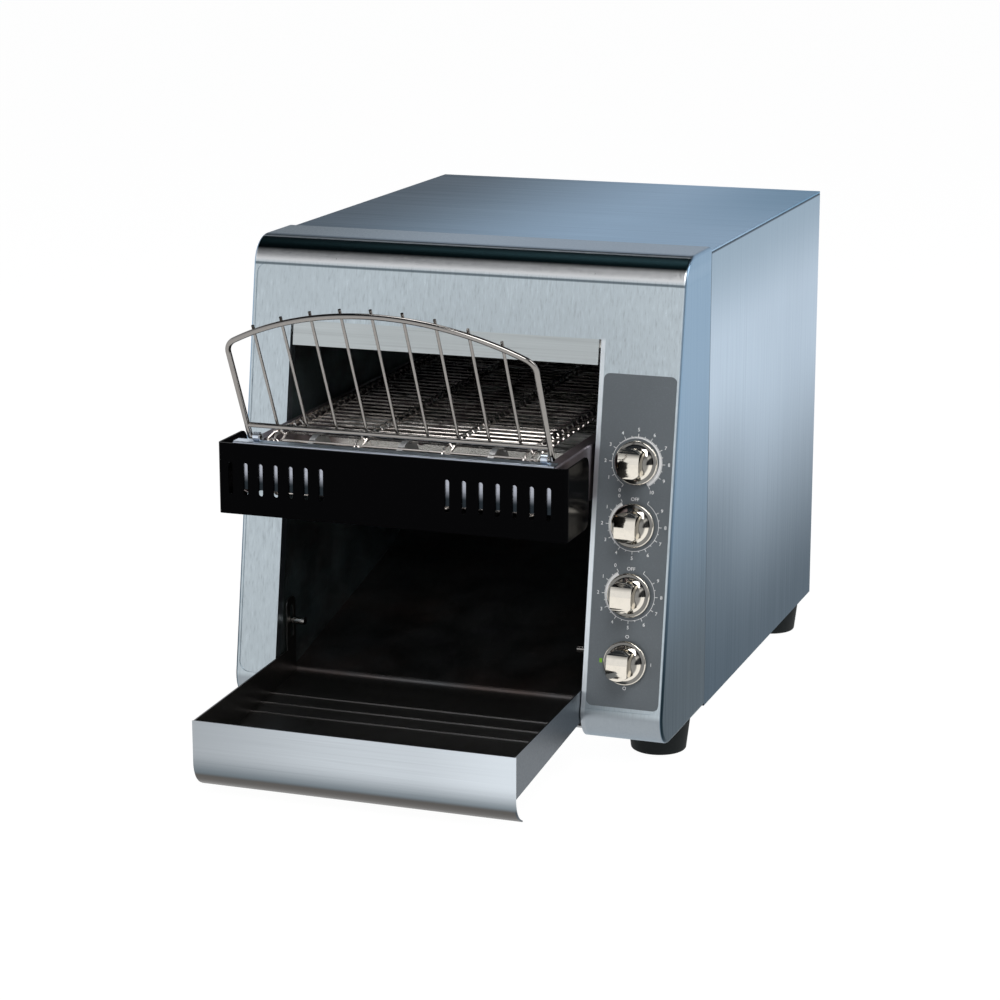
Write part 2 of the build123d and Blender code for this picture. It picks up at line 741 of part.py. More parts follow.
shaft_left_end = plate_left - shaft_proud
idler_right_end = plate_right + shaft_proud
drive_right_end = chain_x + chain_hub_width
with BuildPart() as idler_shaft:
    with BuildSketch(Plane.YZ.offset(shaft_left_end)):
        with Locations((idler_y, shaft_z)):
            Circle(shaft_radius)
    extrude(amount=idler_right_end - shaft_left_end)
    chamfer(idler_shaft.edges().filter_by(GeomType.CIRCLE), shaft_chamfer)
save(idler_shaft, "idler_shaft")

with BuildPart() as drive_shaft:
    with BuildSketch(Plane.YZ.offset(shaft_left_end)):
        with Locations((drive_y, shaft_z)):
            Circle(shaft_radius)
    extrude(amount=drive_right_end - shaft_left_end)
    chamfer(drive_shaft.edges().filter_by(GeomType.CIRCLE), shaft_chamfer)
save(drive_shaft, "drive_shaft")

with BuildPart() as shaft_bushes:
    for bush_x, side in ((plate_left, -1), (plate_right, 1)):
        for bush_y in (idler_y, drive_y):
            with BuildSketch(Plane.YZ.offset(bush_x)):
                with Locations((bush_y, shaft_z)):
                    Circle(bush_radius)
                    Circle(shaft_radius + running_fit, mode=Mode.SUBTRACT)
            extrude(amount=-side * plate_sheet)
            with BuildSketch(Plane.YZ.offset(bush_x - side * plate_sheet)):
                with Locations((bush_y, shaft_z)):
                    Circle(bush_flange_radius)
                    Circle(shaft_radius + running_fit, mode=Mode.SUBTRACT)
            extrude(amount=-side * bush_flange)
save(shaft_bushes, "shaft_bushes")

rail_front_y = idler_y + rail_end_gap
rail_back_y = drive_y - rail_end_gap
rail_spacing = (belt_width - 2 * rail_margin) / (rail_count - 1)
with BuildPart() as belt_rails:
    for rail in range(rail_count):
        rail_x = belt_mid + (rail - (rail_count - 1) / 2) * rail_spacing
        with BuildSketch(Plane.YZ.offset(rail_x - rail_width / 2)):
            with BuildLine():
                Polyline(
                    (rail_front_y, rail_top - rail_height / 2),
                    (rail_front_y + rail_height, rail_top),
                    (rail_back_y - rail_height, rail_top),
                    (rail_back_y, rail_top - rail_height / 2),
                    (rail_back_y, rail_top - rail_height),
                    (rail_front_y, rail_top - rail_height),
                    close=True,
                )
            make_face()
        extrude(amount=rail_width)
    with BuildSketch(Plane.YZ.offset(plate_left)):
        with Locations(*[(y, tie_z) for y in tie_ys]):
            Circle(tie_radius)
    extrude(amount=plate_right - plate_left)
save(belt_rails, "belt_support_rails")

# ================================================================ heaters
with BuildPart() as quartz_tubes:
    with BuildSketch(Plane.YZ.offset(tube_left)):
        with Locations(*tube_places):
            Circle(tube_radius)
            Circle(tube_radius - tube_wall, mode=Mode.SUBTRACT)
    extrude(amount=tube_right - tube_left)
save(quartz_tubes, "quartz_tubes")

# the wound elements, as sleeves of the coils' outer size
with BuildPart() as heater_coils:
    with BuildSketch(Plane.YZ.offset(tube_left)):
        with Locations(*tube_places):
            Circle(tube_radius - tube_wall)
            Circle(tube_radius - tube_wall - coil_wire, mode=Mode.SUBTRACT)
    extrude(amount=tube_right - tube_left)
save(heater_coils, "heater_coils")

with BuildPart() as heater_caps:
    for cap_x, side in ((tube_left, -1), (tube_right, 1)):
        for tube_y, tube_z in tube_places:
            with BuildSketch(Plane.YZ.offset(cap_x)):
                with Locations((tube_y, tube_z)):
                    Circle(cap_radius)
            extrude(amount=side * cap_length)
            with BuildSketch(Plane.YZ.offset(cap_x + side * cap_length)):
                with Locations((tube_y, tube_z)):
                    Circle(cap_wire_radius)
            extrude(amount=side * cap_wire_length)
save(heater_caps, "ceramic_end_caps")


def reflector(ys, z, left, right, opens_down):
    """Shallow bright trough behind a row of tubes; its long edges are folded towards them."""
    front, back = ys[0] - reflector_margin, ys[-1] + reflector_margin
    lip = -reflector_lip if opens_down else reflector_lip
    with BuildPart() as trough:
        with BuildSketch(Plane.XY.offset(z)):
            with Locations(((left + right) / 2, (front + back) / 2)):
                Rectangle(right - left, back - front)
        extrude(amount=reflector_sheet)
        with BuildSketch(Plane.XY.offset(z)):
            with Locations(*[((left + right) / 2, y) for y in (front, back)]):
                Rectangle(right - left, reflector_sheet)
        extrude(amount=lip)
    return trough


save(reflector(upper_tube_ys, upper_reflector_z, wall_left, wall_right, True), "upper_reflector")
save(reflector(lower_tube_ys, lower_reflector_z, plate_left + plate_sheet, plate_right - plate_sheet, False),
     "lower_reflector")

# ================================================================ discharge
chute_back_y = rear_y - skin - chute_back_gap
with BuildPart() as discharge_chute:
    with BuildSketch(Plane.YZ.offset(wall_left)):
        with BuildLine() as chute_line:
            FilletPolyline(
                (seam_y - chute_front_reach + chute_sheet / 2, pan_top + chute_sheet / 2),
                (seam_y - chute_front_reach + chute_sheet / 2, chute_front_z - chute_sheet / 2),
                (seam_y + chute_mid[0], chute_mid[1]),
                (chute_back_y, chute_knee_z),
                (chute_back_y, chute_top_z),
                radius=list(chute_bends),
            )
            offset(amount=chute_sheet / 2, side=Side.BOTH)
        make_face()
    extrude(amount=wall_span)
save(discharge_chute, "discharge_chute")

tray_front_y = seam_y - tray_front_reach
tray_back_y = seam_y - chute_front_reach - tray_back_gap
tray_left = opening_left + tray_side_gap
tray_right = opening_right - tray_side_gap
pin_y = tray_back_y - ear_width / 2 + pin_offset


def tray_floor_z(y):
    """Underside of the sloping tray floor."""
    share = (y - tray_front_y) / (tray_back_y - tray_front_y)
    return tray_floor_front_z + share * (tray_floor_back_z - tray_floor_front_z)


with BuildPart() as discharge_tray:
    # face, curling under to a hemmed lower edge
    with BuildSketch(Plane.YZ.offset(opening_left)):
        with BuildLine():
            face_top = Line((tray_front_y, tray_lip_top), (tray_front_y, tray_front_low))
            curl = TangentArc(face_top @ 1, (tray_front_y + tray_curl_reach, tray_curl_z), tangent=(0, -1))
            Line(curl @ 1, (curl @ 1) + Vector(tray_hem, -tray_hem / 2))
            offset(amount=tray_sheet, side=Side.LEFT)
        make_face()
    extrude(amount=opening_width)
    # floor
    with BuildSketch(Plane.YZ.offset(tray_left)):
        with BuildLine():
            Polyline(
                (tray_front_y + tray_sheet / 2, tray_floor_z(tray_front_y)),
                (tray_back_y, tray_floor_z(tray_back_y)),
                (tray_back_y, tray_floor_z(tray_back_y) + tray_sheet),
                (tray_front_y + tray_sheet / 2, tray_floor_z(tray_front_y) + tray_sheet),
                close=True,
            )
        make_face()
        for rib in range(tray_rib_count):
            rib_y = tray_back_y - tray_rib_first - rib * tray_rib_spacing
            with Locations((rib_y, tray_floor_z(rib_y) + tray_sheet)):
                Circle(tray_rib_radius)
    extrude(amount=tray_right - tray_left)
    # side walls, with slotted ears at the rear that ride on the pins
    for wall_x in (tray_left, tray_right - tray_sheet):
        with BuildSketch(Plane.YZ.offset(wall_x)) as tray_wall:
            with BuildLine():
                Polyline(
                    (tray_front_y + tray_sheet / 2, tray_floor_z(tray_front_y)),
                    (tray_back_y, tray_floor_z(tray_back_y)),
                    (tray_back_y, ear_top),
                    (tray_back_y - ear_width, ear_top),
                    (tray_back_y - ear_width, tray_wall_back_z),
                    (tray_front_y + tray_sheet / 2, tray_lip_top),
                    close=True,
                )
            make_face()
            fillet(tray_wall.vertices().group_by(Axis.Y)[-1], ear_round)
            with Locations((pin_y, pin_z + (slot_up - slot_down) / 2)):
                SlotOverall(slot_up + slot_down, 2 * (pin_radius + slot_gap), rotation=90, mode=Mode.SUBTRACT)
        extrude(amount=tray_sheet)
save(discharge_tray, "discharge_tray")

rest_y = tray_back_y - ear_width
rest_z = tray_floor_z(rest_y) - rest_radius - rest_gap
with BuildPart() as tray_pins:
    for stud_y, stud_z, stud_radius, reach in (
        (pin_y, pin_z, pin_radius, pin_reach),
        (rest_y, rest_z, rest_radius, rest_reach),
    ):
        for stud_x, side in ((wall_left, 1), (wall_right, -1)):
            with BuildSketch(Plane.YZ.offset(stud_x)):
                with Locations((stud_y, stud_z)):
                    Circle(stud_radius)
            extrude(amount=side * reach)
save(tray_pins, "tray_pins")

# ================================================================ heat guard
guard_left = opening_left - guard_left_overhang
guard_right = opening_right + guard_right_overhang
guard_face_y = seam_y - front_bar_reach - guard_sheet
with BuildPart() as heat_guard:
    with BuildSketch(Plane.XY.offset(guard_bottom)) as guard_plan:
        with Locations(((guard_left + guard_right) / 2, guard_face_y + guard_return / 2)):
            Rectangle(guard_right - guard_left, guard_return)
        fillet(guard_plan.vertices().group_by(Axis.Y)[0], guard_bend)
    extrude(amount=guard_top - guard_bottom)
    with BuildSketch(Plane.XY.offset(guard_bottom)) as guard_inside:
        inside_width = guard_right - guard_left - 2 * guard_sheet
        with Locations(((guard_left + guard_right) / 2, guard_face_y + guard_sheet + guard_return / 2)):
            Rectangle(inside_width, guard_return)
        fillet(guard_inside.vertices().group_by(Axis.Y)[0], guard_bend - guard_sheet)
    extrude(amount=guard_top - guard_bottom, mode=Mode.SUBTRACT)
    back_corners = heat_guard.edges().filter_by(Axis.X).group_by(Axis.Y)[-1]
    fillet(back_corners, guard_corner)
    with BuildSketch(Plane.XZ.offset(-guard_face_y + spare)):
        left_xs = [guard_left + left_slot_start + i * left_slot_pitch for i in range(guard_slots)]
        right_xs = [guard_right - right_slot_start - i * right_slot_pitch for i in range(guard_slots)]
        with Locations(*[(x, guard_slot_z) for x in left_xs + right_xs]):
            SlotOverall(guard_slot_length, guard_slot_width, rotation=90)
    extrude(amount=-2 * spare, mode=Mode.SUBTRACT)
save(heat_guard, "heat_guard")

standoff_y = guard_face_y + guard_return - guard_corner - standoff_radius
with BuildPart() as frame_spacers:
    # between the tunnel's walls and the conveyor's side plates
    for gap_start, gap_end in ((wall_left, plate_left), (plate_right, wall_right)):
        with BuildSketch(Plane.YZ.offset(gap_start)):
            with Locations(*[(y, spacer_z) for y in spacer_ys]):
                Circle(spacer_radius)
                Circle(screw_radius, mode=Mode.SUBTRACT)
        extrude(amount=gap_end - gap_start)
    # between the guard's returns and the conveyor's side plates
    for gap_start, gap_end in (
        (guard_left + guard_sheet, plate_left),
        (plate_right, guard_right - guard_sheet),
    ):
        with BuildSketch(Plane.YZ.offset(gap_start)):
            with Locations((standoff_y, (guard_top + guard_bottom) / 2)):
                Circle(standoff_radius)
        extrude(amount=gap_end - gap_start)
save(frame_spacers, "frame_spacers")

# ================================================================ loading rack
rack_axis_y = seam_y - rack_reach
rack_axis_z = front_bar_top + rack_lift
rack_left = opening_left + rack_left_inset
rack_right = opening_right - rack_right_inset
rack_up = Vector(0, -sin(radians(rack_lean)), cos(radians(rack_lean)))
rack_out = Vector(0, -cos(radians(rack_lean)), -sin(radians(rack_lean)))
rack_plane = Plane(origin=(0, rack_axis_y, rack_axis_z), x_dir=(1, 0, 0), z_dir=rack_out)
rack_back = rack_plane.offset(-rack_wire_radius - rack_bar_radius + rack_weld)
arch_half = (rack_right - rack_left) / 2
arch_radius = (arch_half ** 2 + rack_arch ** 2) / (2 * rack_arch)
rack_mid = (rack_left + rack_right) / 2


def arch_height(x):
    """Height of the arch's axis above the hinge axis, measured up the rack."""
    sideways = x - rack_mid
    return rack_leg + rack_arch - arch_radius + sqrt(arch_radius ** 2 - sideways ** 2)


first_bar = rack_mid - (rack_bars - 1) / 2 * rack_bar_pitch
with BuildPart() as loading_rack:
    # outer wire, legs and arch, with its two pivots turned inwards
    with BuildLine(rack_plane) as outer_wire:
        left_foot = (rack_left, 0)
        right_foot = (rack_right, 0)
        left_knee = (rack_mid - arch_half, rack_leg)
        right_knee = (rack_mid + arch_half, rack_leg)
        Line(left_foot, left_knee)
        ThreePointArc(left_knee, (rack_mid, rack_leg + rack_arch), right_knee)
        Line(right_knee, right_foot)
        fillet(outer_wire.vertices().filter_by(lambda v: v.Z > rack_axis_z + 1), rack_knee_round)
    with BuildSketch(Plane(origin=outer_wire.wires()[0] @ 0, z_dir=outer_wire.wires()[0] % 0)):
        Circle(rack_wire_radius)
    sweep()
    for foot_x in (rack_left, rack_right):
        with Locations((foot_x, rack_axis_y, rack_axis_z)):
            Sphere(rack_wire_radius)
    for foot_x, side in ((rack_left, 1), (rack_right, -1)):
        with BuildSketch(Plane.YZ.offset(foot_x)):
            with Locations((rack_axis_y, rack_axis_z)):
                Circle(rack_wire_radius)
        extrude(amount=side * rack_pivot_length)
    # base bar
    base_centre = rack_plane.origin + rack_up * rack_base_height
    with BuildSketch(Plane.YZ.offset(rack_left)):
        with Locations((base_centre.Y, base_centre.Z)):
            Circle(rack_base_radius)
    extrude(amount=rack_right - rack_left)
    # upright bars, welded to the back of the arch and of the base bar
    for bar in range(rack_bars):
        bar_x = first_bar + bar * rack_bar_pitch
        bar_start = rack_base_height - rack_base_radius
        bar_end = arch_height(bar_x) + rack_bar_tip
        bar_foot = rack_back.origin + rack_up * bar_start + Vector(bar_x, 0, 0)
        with BuildSketch(Plane(origin=bar_foot, x_dir=(1, 0, 0), z_dir=rack_up)):
            Circle(rack_bar_radius)
        extrude(amount=bar_end - bar_start)
save(loading_rack, "loading_rack")

clip_outer = rack_wire_radius + clip_fit + clip_sheet
with BuildPart() as rack_clips:
    clip_start = rack_wire_radius + clip_side_gap
    for clip_x in (rack_left + clip_start, rack_right - clip_start - clip_width):
        with BuildSketch(Plane.YZ.offset(clip_x)):
            with Locations((rack_axis_y, rack_axis_z)):
                Circle(clip_outer)
            with Locations((rack_axis_y + clip_outer, (front_bar_top + rack_axis_z) / 2)):
                Rectangle(2 * clip_outer, rack_axis_z - front_bar_top)
            with Locations((rack_axis_y, front_bar_top - spare)):
                Rectangle(spare, 2 * spare, mode=Mode.SUBTRACT)
            with Locations((rack_axis_y, rack_axis_z)):
                Circle(rack_wire_radius + clip_fit, mode=Mode.SUBTRACT)
        extrude(amount=clip_width)
save(rack_clips, "rack_clips")

# ================================================================ controls
overlay_left = opening_right + overlay_left_gap
overlay_right = half_width - overlay_right_gap
overlay_depth = field_recess
with BuildPart() as control_overlay:
    overlay_height = (overlay_top - overlay_bottom) / cos(lean)
    overlay_x = (overlay_left + overlay_right) / 2
    overlay_z = (overlay_top + overlay_bottom) / 2
    with BuildSketch(on_fascia(overlay_x, overlay_z, overlay_depth)):
        RectangleRounded(overlay_right - overlay_left, overlay_height, overlay_corner)
        for knob_z in knob_heights:
            with Locations((knob_x - overlay_x, (knob_z - overlay_z) / cos(lean))):
                Circle(bushing_hole, mode=Mode.SUBTRACT)
    extrude(amount=overlay_sheet)
save(control_overlay, "control_overlay")

overlay_face = overlay_depth - overlay_sheet      # behind the fascia's front face
for knob_name, knob_z, (control_width, control_height, control_depth) in zip(
    knob_names, knob_heights, control_sizes
):
    # switch or regulator behind the fascia, with its bushing through the skin
    with BuildPart() as control:
        with BuildSketch(on_fascia(knob_x, knob_z, skin)) as control_front:
            Rectangle(control_width, control_height)
            fillet(control_front.vertices(), control_corner)
        extrude(amount=-control_depth)
        with BuildSketch(on_fascia(knob_x, knob_z, skin)):
            Circle(bushing_radius)
        extrude(amount=skin + bushing_proud - overlay_face)
        with BuildSketch(on_fascia(knob_x, knob_z, skin + spindle_depth)):
            Circle(spindle_radius + running_fit)
        extrude(amount=spindle_depth + skin + bushing_proud, mode=Mode.SUBTRACT)
        with BuildSketch(on_fascia(knob_x, knob_z, skin + control_depth)):
            with GridLocations(control_width / 2, control_height / 2, 2, 2):
                Rectangle(tab_width, tab_thickness)
        extrude(amount=-tab_length)
    save(control, f"{knob_name}_switch" if knob_name == "power" else f"{knob_name}_regulator")

    spindle_top = knob_gap + knob_bore_depth
    with BuildPart() as spindle:
        spindle_inner_end = skin + spindle_depth - spindle_end_gap
        with BuildSketch(on_fascia(knob_x, knob_z, spindle_inner_end)):
            Circle(spindle_radius)
        extrude(amount=spindle_inner_end - overlay_face + spindle_top)
    save(spindle, f"{knob_name}_spindle")

    with BuildPart() as knob:
        knob_base = overlay_face - knob_gap
        grip_plane = on_fascia(knob_x, knob_z, knob_base)
        with BuildSketch(grip_plane):
            Circle(knob_flange_radius)
        extrude(amount=knob_flange)
        flange_rim = knob.edges().filter_by(GeomType.CIRCLE).sort_by_distance(grip_plane.origin)
        fillet(flange_rim[-1], knob_flange * 0.35)
        with BuildSketch(grip_plane):
            Circle(knob_grip_radius)
        extrude(amount=knob_height)
        # concave flanks of the grip
        scoop_half = (knob_height - knob_flange) / 2
        scoop_radius = (scoop_half ** 2 + knob_scoop_depth ** 2) / (2 * knob_scoop_depth)
        for side in (-1, 1):
            scoop_x = side * (knob_grip_width / 2 - knob_scoop_depth + scoop_radius)
            scoop_centre = grip_plane.from_local_coords(Vector(scoop_x, 0, knob_flange + scoop_half))
            with BuildSketch(Plane(origin=scoop_centre, x_dir=(1, 0, 0), z_dir=grip_plane.y_dir)):
                Circle(scoop_radius)
                with Locations((0, scoop_radius + scoop_half)):
                    Rectangle(4 * scoop_radius, 2 * scoop_radius, mode=Mode.SUBTRACT)
            extrude(amount=knob_flange_radius, both=True, mode=Mode.SUBTRACT)
        # cavity round the nut and bushing, and the spindle's bore
        with BuildSketch(grip_plane):
            Circle(nut_radius + knob_cavity_gap)
        extrude(amount=bushing_proud, mode=Mode.SUBTRACT)
        with BuildSketch(grip_plane):
            Circle(spindle_radius)
        extrude(amount=knob_bore_depth, mode=Mode.SUBTRACT)
    save(knob, f"{knob_name}_knob")

# ================================================================ drive
motor_centre = (motor_y, motor_z)
chain_places = loop_places(
    drive_centre, motor_centre, chain_radius, chain_pitch, chain_run_pitches, chain_teeth
)
with BuildPart() as drive_chain:
    with BuildSketch(Plane.YZ.offset(chain_x - chain_width / 2 - chain_plate)):
        with Locations(*chain_places):
            Circle(chain_roller_radius)
    extrude(amount=chain_width + 2 * chain_plate)
    for plate_x in (chain_x - chain_width / 2 - chain_plate, chain_x + chain_width / 2):
        with BuildSketch(Plane.YZ.offset(plate_x)):
            wheel_loop(drive_centre, motor_centre, chain_radius + chain_plate_radius)
            wheel_loop(drive_centre, motor_centre, chain_radius - chain_plate_radius, mode=Mode.SUBTRACT)
        extrude(amount=chain_plate)
save(drive_chain, "drive_chain")


def chain_sprocket(centre):
    """Chain sprocket with a hub on its outer side, bored for its shaft."""
    with BuildPart() as sprocket:
        toothed_disc(chain_x, centre, chain_radius, chain_teeth, chain_roller_radius + chain_seat_gap,
                     chain_sprocket_tip, chain_sprocket_width, chain_angle + 90)
        with BuildSketch(Plane.YZ.offset(chain_x)):
            with Locations(centre):
                Circle(chain_hub_radius)
        extrude(amount=chain_hub_width)
        with BuildSketch(Plane.YZ.offset(chain_x - chain_hub_width)):
            with Locations(centre):
                Circle(shaft_radius)
        extrude(amount=3 * chain_hub_width, mode=Mode.SUBTRACT)
    return sprocket


save(chain_sprocket(drive_centre), "driven_sprocket")
save(chain_sprocket(motor_centre), "motor_sprocket")

bracket_x = chain_x + chain_hub_width + bracket_gap
gearbox_x = bracket_x + bracket_sheet
with BuildPart() as motor_shaft:
    with BuildSketch(Plane.YZ.offset(chain_x - chain_sprocket_width / 2)):
        with Locations(motor_centre):
            Circle(shaft_radius)
    extrude(amount=gearbox_x + motor_shaft_sink - chain_x + chain_sprocket_width / 2)
save(motor_shaft, "motor_shaft")

gearbox_thick, gearbox_deep, gearbox_high = gearbox_size
gearbox_y = motor_y + gearbox_deep / 5
with BuildPart() as gear_motor:
    with BuildSketch(Plane.YZ.offset(gearbox_x)) as gearbox_face:
        with Locations((gearbox_y, motor_z)):
            RectangleRounded(gearbox_deep, gearbox_high, gearbox_corner)
    extrude(amount=gearbox_thick)
    with BuildSketch(Plane.YZ.offset(gearbox_x + gearbox_thick)):
        with Locations((gearbox_y, motor_z)):
            Circle(motor_radius)
    extrude(amount=motor_length)
    with BuildSketch(Plane.YZ.offset(gearbox_x)):
        with Locations(motor_centre):
            Circle(shaft_radius + running_fit)
    extrude(amount=motor_shaft_sink + running_fit, mode=Mode.SUBTRACT)
save(gear_motor, "gear_motor")

with BuildPart() as motor_bracket:
    with BuildSketch(Plane.YZ.offset(bracket_x)):
        with Locations((gearbox_y, (pan_top + motor_z + gearbox_high / 2) / 2)):
            Rectangle(gearbox_deep, motor_z + gearbox_high / 2 - pan_top)
        with Locations(motor_centre):
            Circle(shaft_radius + bracket_hole_gap, mode=Mode.SUBTRACT)
    extrude(amount=bracket_sheet)
    with BuildSketch(Plane.XY.offset(pan_top)):
        with Locations((bracket_x + bracket_foot / 2, gearbox_y)):
            Rectangle(bracket_foot, gearbox_deep)
    extrude(amount=bracket_sheet)
save(motor_bracket, "motor_bracket")

# ================================================================ cooling fan
fan_plane = Plane(origin=(fan_x, rear_y - skin - fan_depth, fan_z), x_dir=(1, 0, 0), z_dir=(0, 1, 0))
with BuildPart() as fan_frame:
    with BuildSketch(fan_plane):
        RectangleRounded(fan_size, fan_size, fan_corner)
        Circle(fan_bore, mode=Mode.SUBTRACT)
        with GridLocations(fan_screw_pitch, fan_screw_pitch, 2, 2):
            Circle(screw_radius, mode=Mode.SUBTRACT)
    extrude(amount=fan_depth)
    with BuildSketch(fan_plane):
        Circle(fan_hub_radius)
        with PolarLocations(0, 4, start_angle=45):
            Rectangle(fan_bore + fan_spider / 4, fan_spider, align=(Align.MIN, Align.CENTER))
    extrude(amount=fan_spider / 2)
    with BuildSketch(fan_plane):
        Circle(fan_axle_radius)
    extrude(amount=fan_depth - fan_frame_wall)
save(fan_frame, "fan_frame")

rotor_start = fan_spider / 2 + fan_running_gap
rotor_length = fan_depth - rotor_start - fan_running_gap
blade_reach = fan_bore - fan_blade_tip_gap - fan_hub_radius
blade_length = blade_reach + fan_hub_radius / 2
with BuildPart() as fan_rotor:
    with Locations(fan_plane.offset(rotor_start + rotor_length / 2)):
        with PolarLocations(fan_hub_radius + blade_reach / 2, fan_blades):
            Box(blade_length, fan_blade_thick, 2 * rotor_length, rotation=(fan_blade_pitch, 0, 0))
        Cylinder(fan_bore - fan_blade_tip_gap, rotor_length, mode=Mode.INTERSECT)
        Cylinder(fan_hub_radius - fan_hub_gap, rotor_length)
        Cylinder(fan_axle_radius + running_fit, 2 * rotor_length, mode=Mode.SUBTRACT)
save(fan_rotor, "fan_rotor")

# ================================================================ supply side
gland_place = (half_width - gland_inset, rear_y, gland_z)
gland_plane = Plane(origin=gland_place, x_dir=(1, 0, 0), z_dir=(0, 1, 0))
with BuildPart() as cord_gland:
    with BuildSketch(gland_plane.offset(-gland_inside)):
        Circle(gland_radius)
    extrude(amount=gland_inside)
    with BuildSketch(gland_plane):
        RegularPolygon(gland_nut_radius, 6)
    extrude(amount=gland_proud / 2)
    with BuildSketch(gland_plane.offset(gland_proud / 2)):
        Circle(gland_radius)
    extrude(amount=gland_proud / 2)
    fillet(cord_gland.edges().filter_by(GeomType.CIRCLE).group_by(Axis.Y)[-1], gland_proud / 5)
    with BuildSketch(gland_plane.offset(-skin - gland_nut_thick)):
        RegularPolygon(gland_nut_radius, 6)
    extrude(amount=gland_nut_thick)
    with BuildSketch(gland_plane.offset(-2 * gland_inside)):
        Circle(gland_bore)
    extrude(amount=3 * gland_inside, mode=Mode.SUBTRACT)
save(cord_gland, "cord_gland")

with BuildPart() as terminal_block:
    block_x = (wall_right + half_width) / 2
    block_y = seam_y + block_reach
    with BuildSketch(Plane.XY.offset(pan_top)):
        with Locations((block_x, block_y)):
            Rectangle(block_size[0], block_size[1])
    extrude(amount=block_size[2])
    with BuildSketch(Plane.XY.offset(pan_top + block_size[2])):
        with Locations((block_x, block_y)):
            with GridLocations(block_size[0] / 2, block_size[1] / block_poles, 2, block_poles):
                Circle(screw_radius)
    extrude(amount=-block_size[2] / 2, mode=Mode.SUBTRACT)
save(terminal_block, "terminal_block")

# ================================================================ fasteners
with BuildPart() as machine_screws:
    # rear panel and fan
    with BuildSketch(Plane.XZ.offset(-rear_y)):
        with Locations(*rear_screws, *fan_screws):
            Circle(screw_head_radius)
    extrude(amount=-screw_head)
    with BuildSketch(Plane.XZ.offset(-rear_y)):
        with Locations(*rear_screws, *fan_screws):
            Circle(screw_radius)
    extrude(amount=screw_length)
    fillet(machine_screws.edges().filter_by(GeomType.CIRCLE).group_by(Axis.Y)[-1], screw_head * 0.6)
    # feet, each screw with its nut on the pan
    with BuildSketch(Plane.XY.offset(foot_screw_head_z)):
        with Locations(*foot_places):
            Circle(screw_head_radius)
    extrude(amount=-screw_head)
    with BuildSketch(Plane.XY.offset(foot_screw_head_z)):
        with Locations(*foot_places):
            Circle(screw_radius)
    extrude(amount=pan_top + screw_length - foot_screw_head_z)
    with BuildSketch(Plane.XY.offset(pan_top)):
        with Locations(*foot_places):
            RegularPolygon(screw_head_radius, 6)
    extrude(amount=2 * screw_head)
    # conveyor plates, through their spacers
    for start_x, side in ((plate_left + plate_sheet, -1), (plate_right - plate_sheet, 1)):
        with BuildSketch(Plane.YZ.offset(start_x)):
            with Locations(*[(y, spacer_z) for y in spacer_ys]):
                Circle(screw_radius)
        extrude(amount=side * (plate_sheet + plate_gap + skin))
        with BuildSketch(Plane.YZ.offset(start_x)):
            with Locations(*[(y, spacer_z) for y in spacer_ys]):
                Circle(screw_head_radius)
        extrude(amount=-side * screw_head)
    # nuts on the controls' bushings
    for knob_z in knob_heights:
        with BuildSketch(on_fascia(knob_x, knob_z, overlay_face)):
            RegularPolygon(nut_radius, 6)
            Circle(bushing_radius, mode=Mode.SUBTRACT)
        extrude(amount=nut_height)
save(machine_screws, "machine_screws")
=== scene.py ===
import json
from math import atan2, cos, pi, radians, sin

import bpy
from mathutils import Matrix, Vector


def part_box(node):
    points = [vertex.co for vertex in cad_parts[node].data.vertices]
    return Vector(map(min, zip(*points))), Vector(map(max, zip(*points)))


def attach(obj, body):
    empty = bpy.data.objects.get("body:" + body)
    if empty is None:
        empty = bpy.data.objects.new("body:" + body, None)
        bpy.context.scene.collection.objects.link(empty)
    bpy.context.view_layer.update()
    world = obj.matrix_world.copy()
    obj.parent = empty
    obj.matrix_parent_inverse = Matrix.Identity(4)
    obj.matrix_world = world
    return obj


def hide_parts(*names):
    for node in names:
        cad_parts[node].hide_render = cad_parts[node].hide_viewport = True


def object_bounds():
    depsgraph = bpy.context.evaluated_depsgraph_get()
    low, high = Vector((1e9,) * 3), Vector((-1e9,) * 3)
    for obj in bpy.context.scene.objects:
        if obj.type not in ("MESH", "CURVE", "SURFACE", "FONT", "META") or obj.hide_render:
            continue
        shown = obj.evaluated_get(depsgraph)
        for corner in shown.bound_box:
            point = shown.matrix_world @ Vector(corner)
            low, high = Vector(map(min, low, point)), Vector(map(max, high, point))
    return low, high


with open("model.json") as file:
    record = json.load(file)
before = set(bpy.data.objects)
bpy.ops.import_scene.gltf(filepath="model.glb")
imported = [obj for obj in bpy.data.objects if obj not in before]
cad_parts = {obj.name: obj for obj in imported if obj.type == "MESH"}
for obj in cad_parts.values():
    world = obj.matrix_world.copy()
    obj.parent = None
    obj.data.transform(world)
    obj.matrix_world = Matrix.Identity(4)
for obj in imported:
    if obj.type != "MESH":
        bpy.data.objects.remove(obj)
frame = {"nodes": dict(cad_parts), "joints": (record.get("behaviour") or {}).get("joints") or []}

cad_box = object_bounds()
nodes = frame["nodes"]
joints = {joint["name"]: joint for joint in frame["joints"]}
MM = 0.001

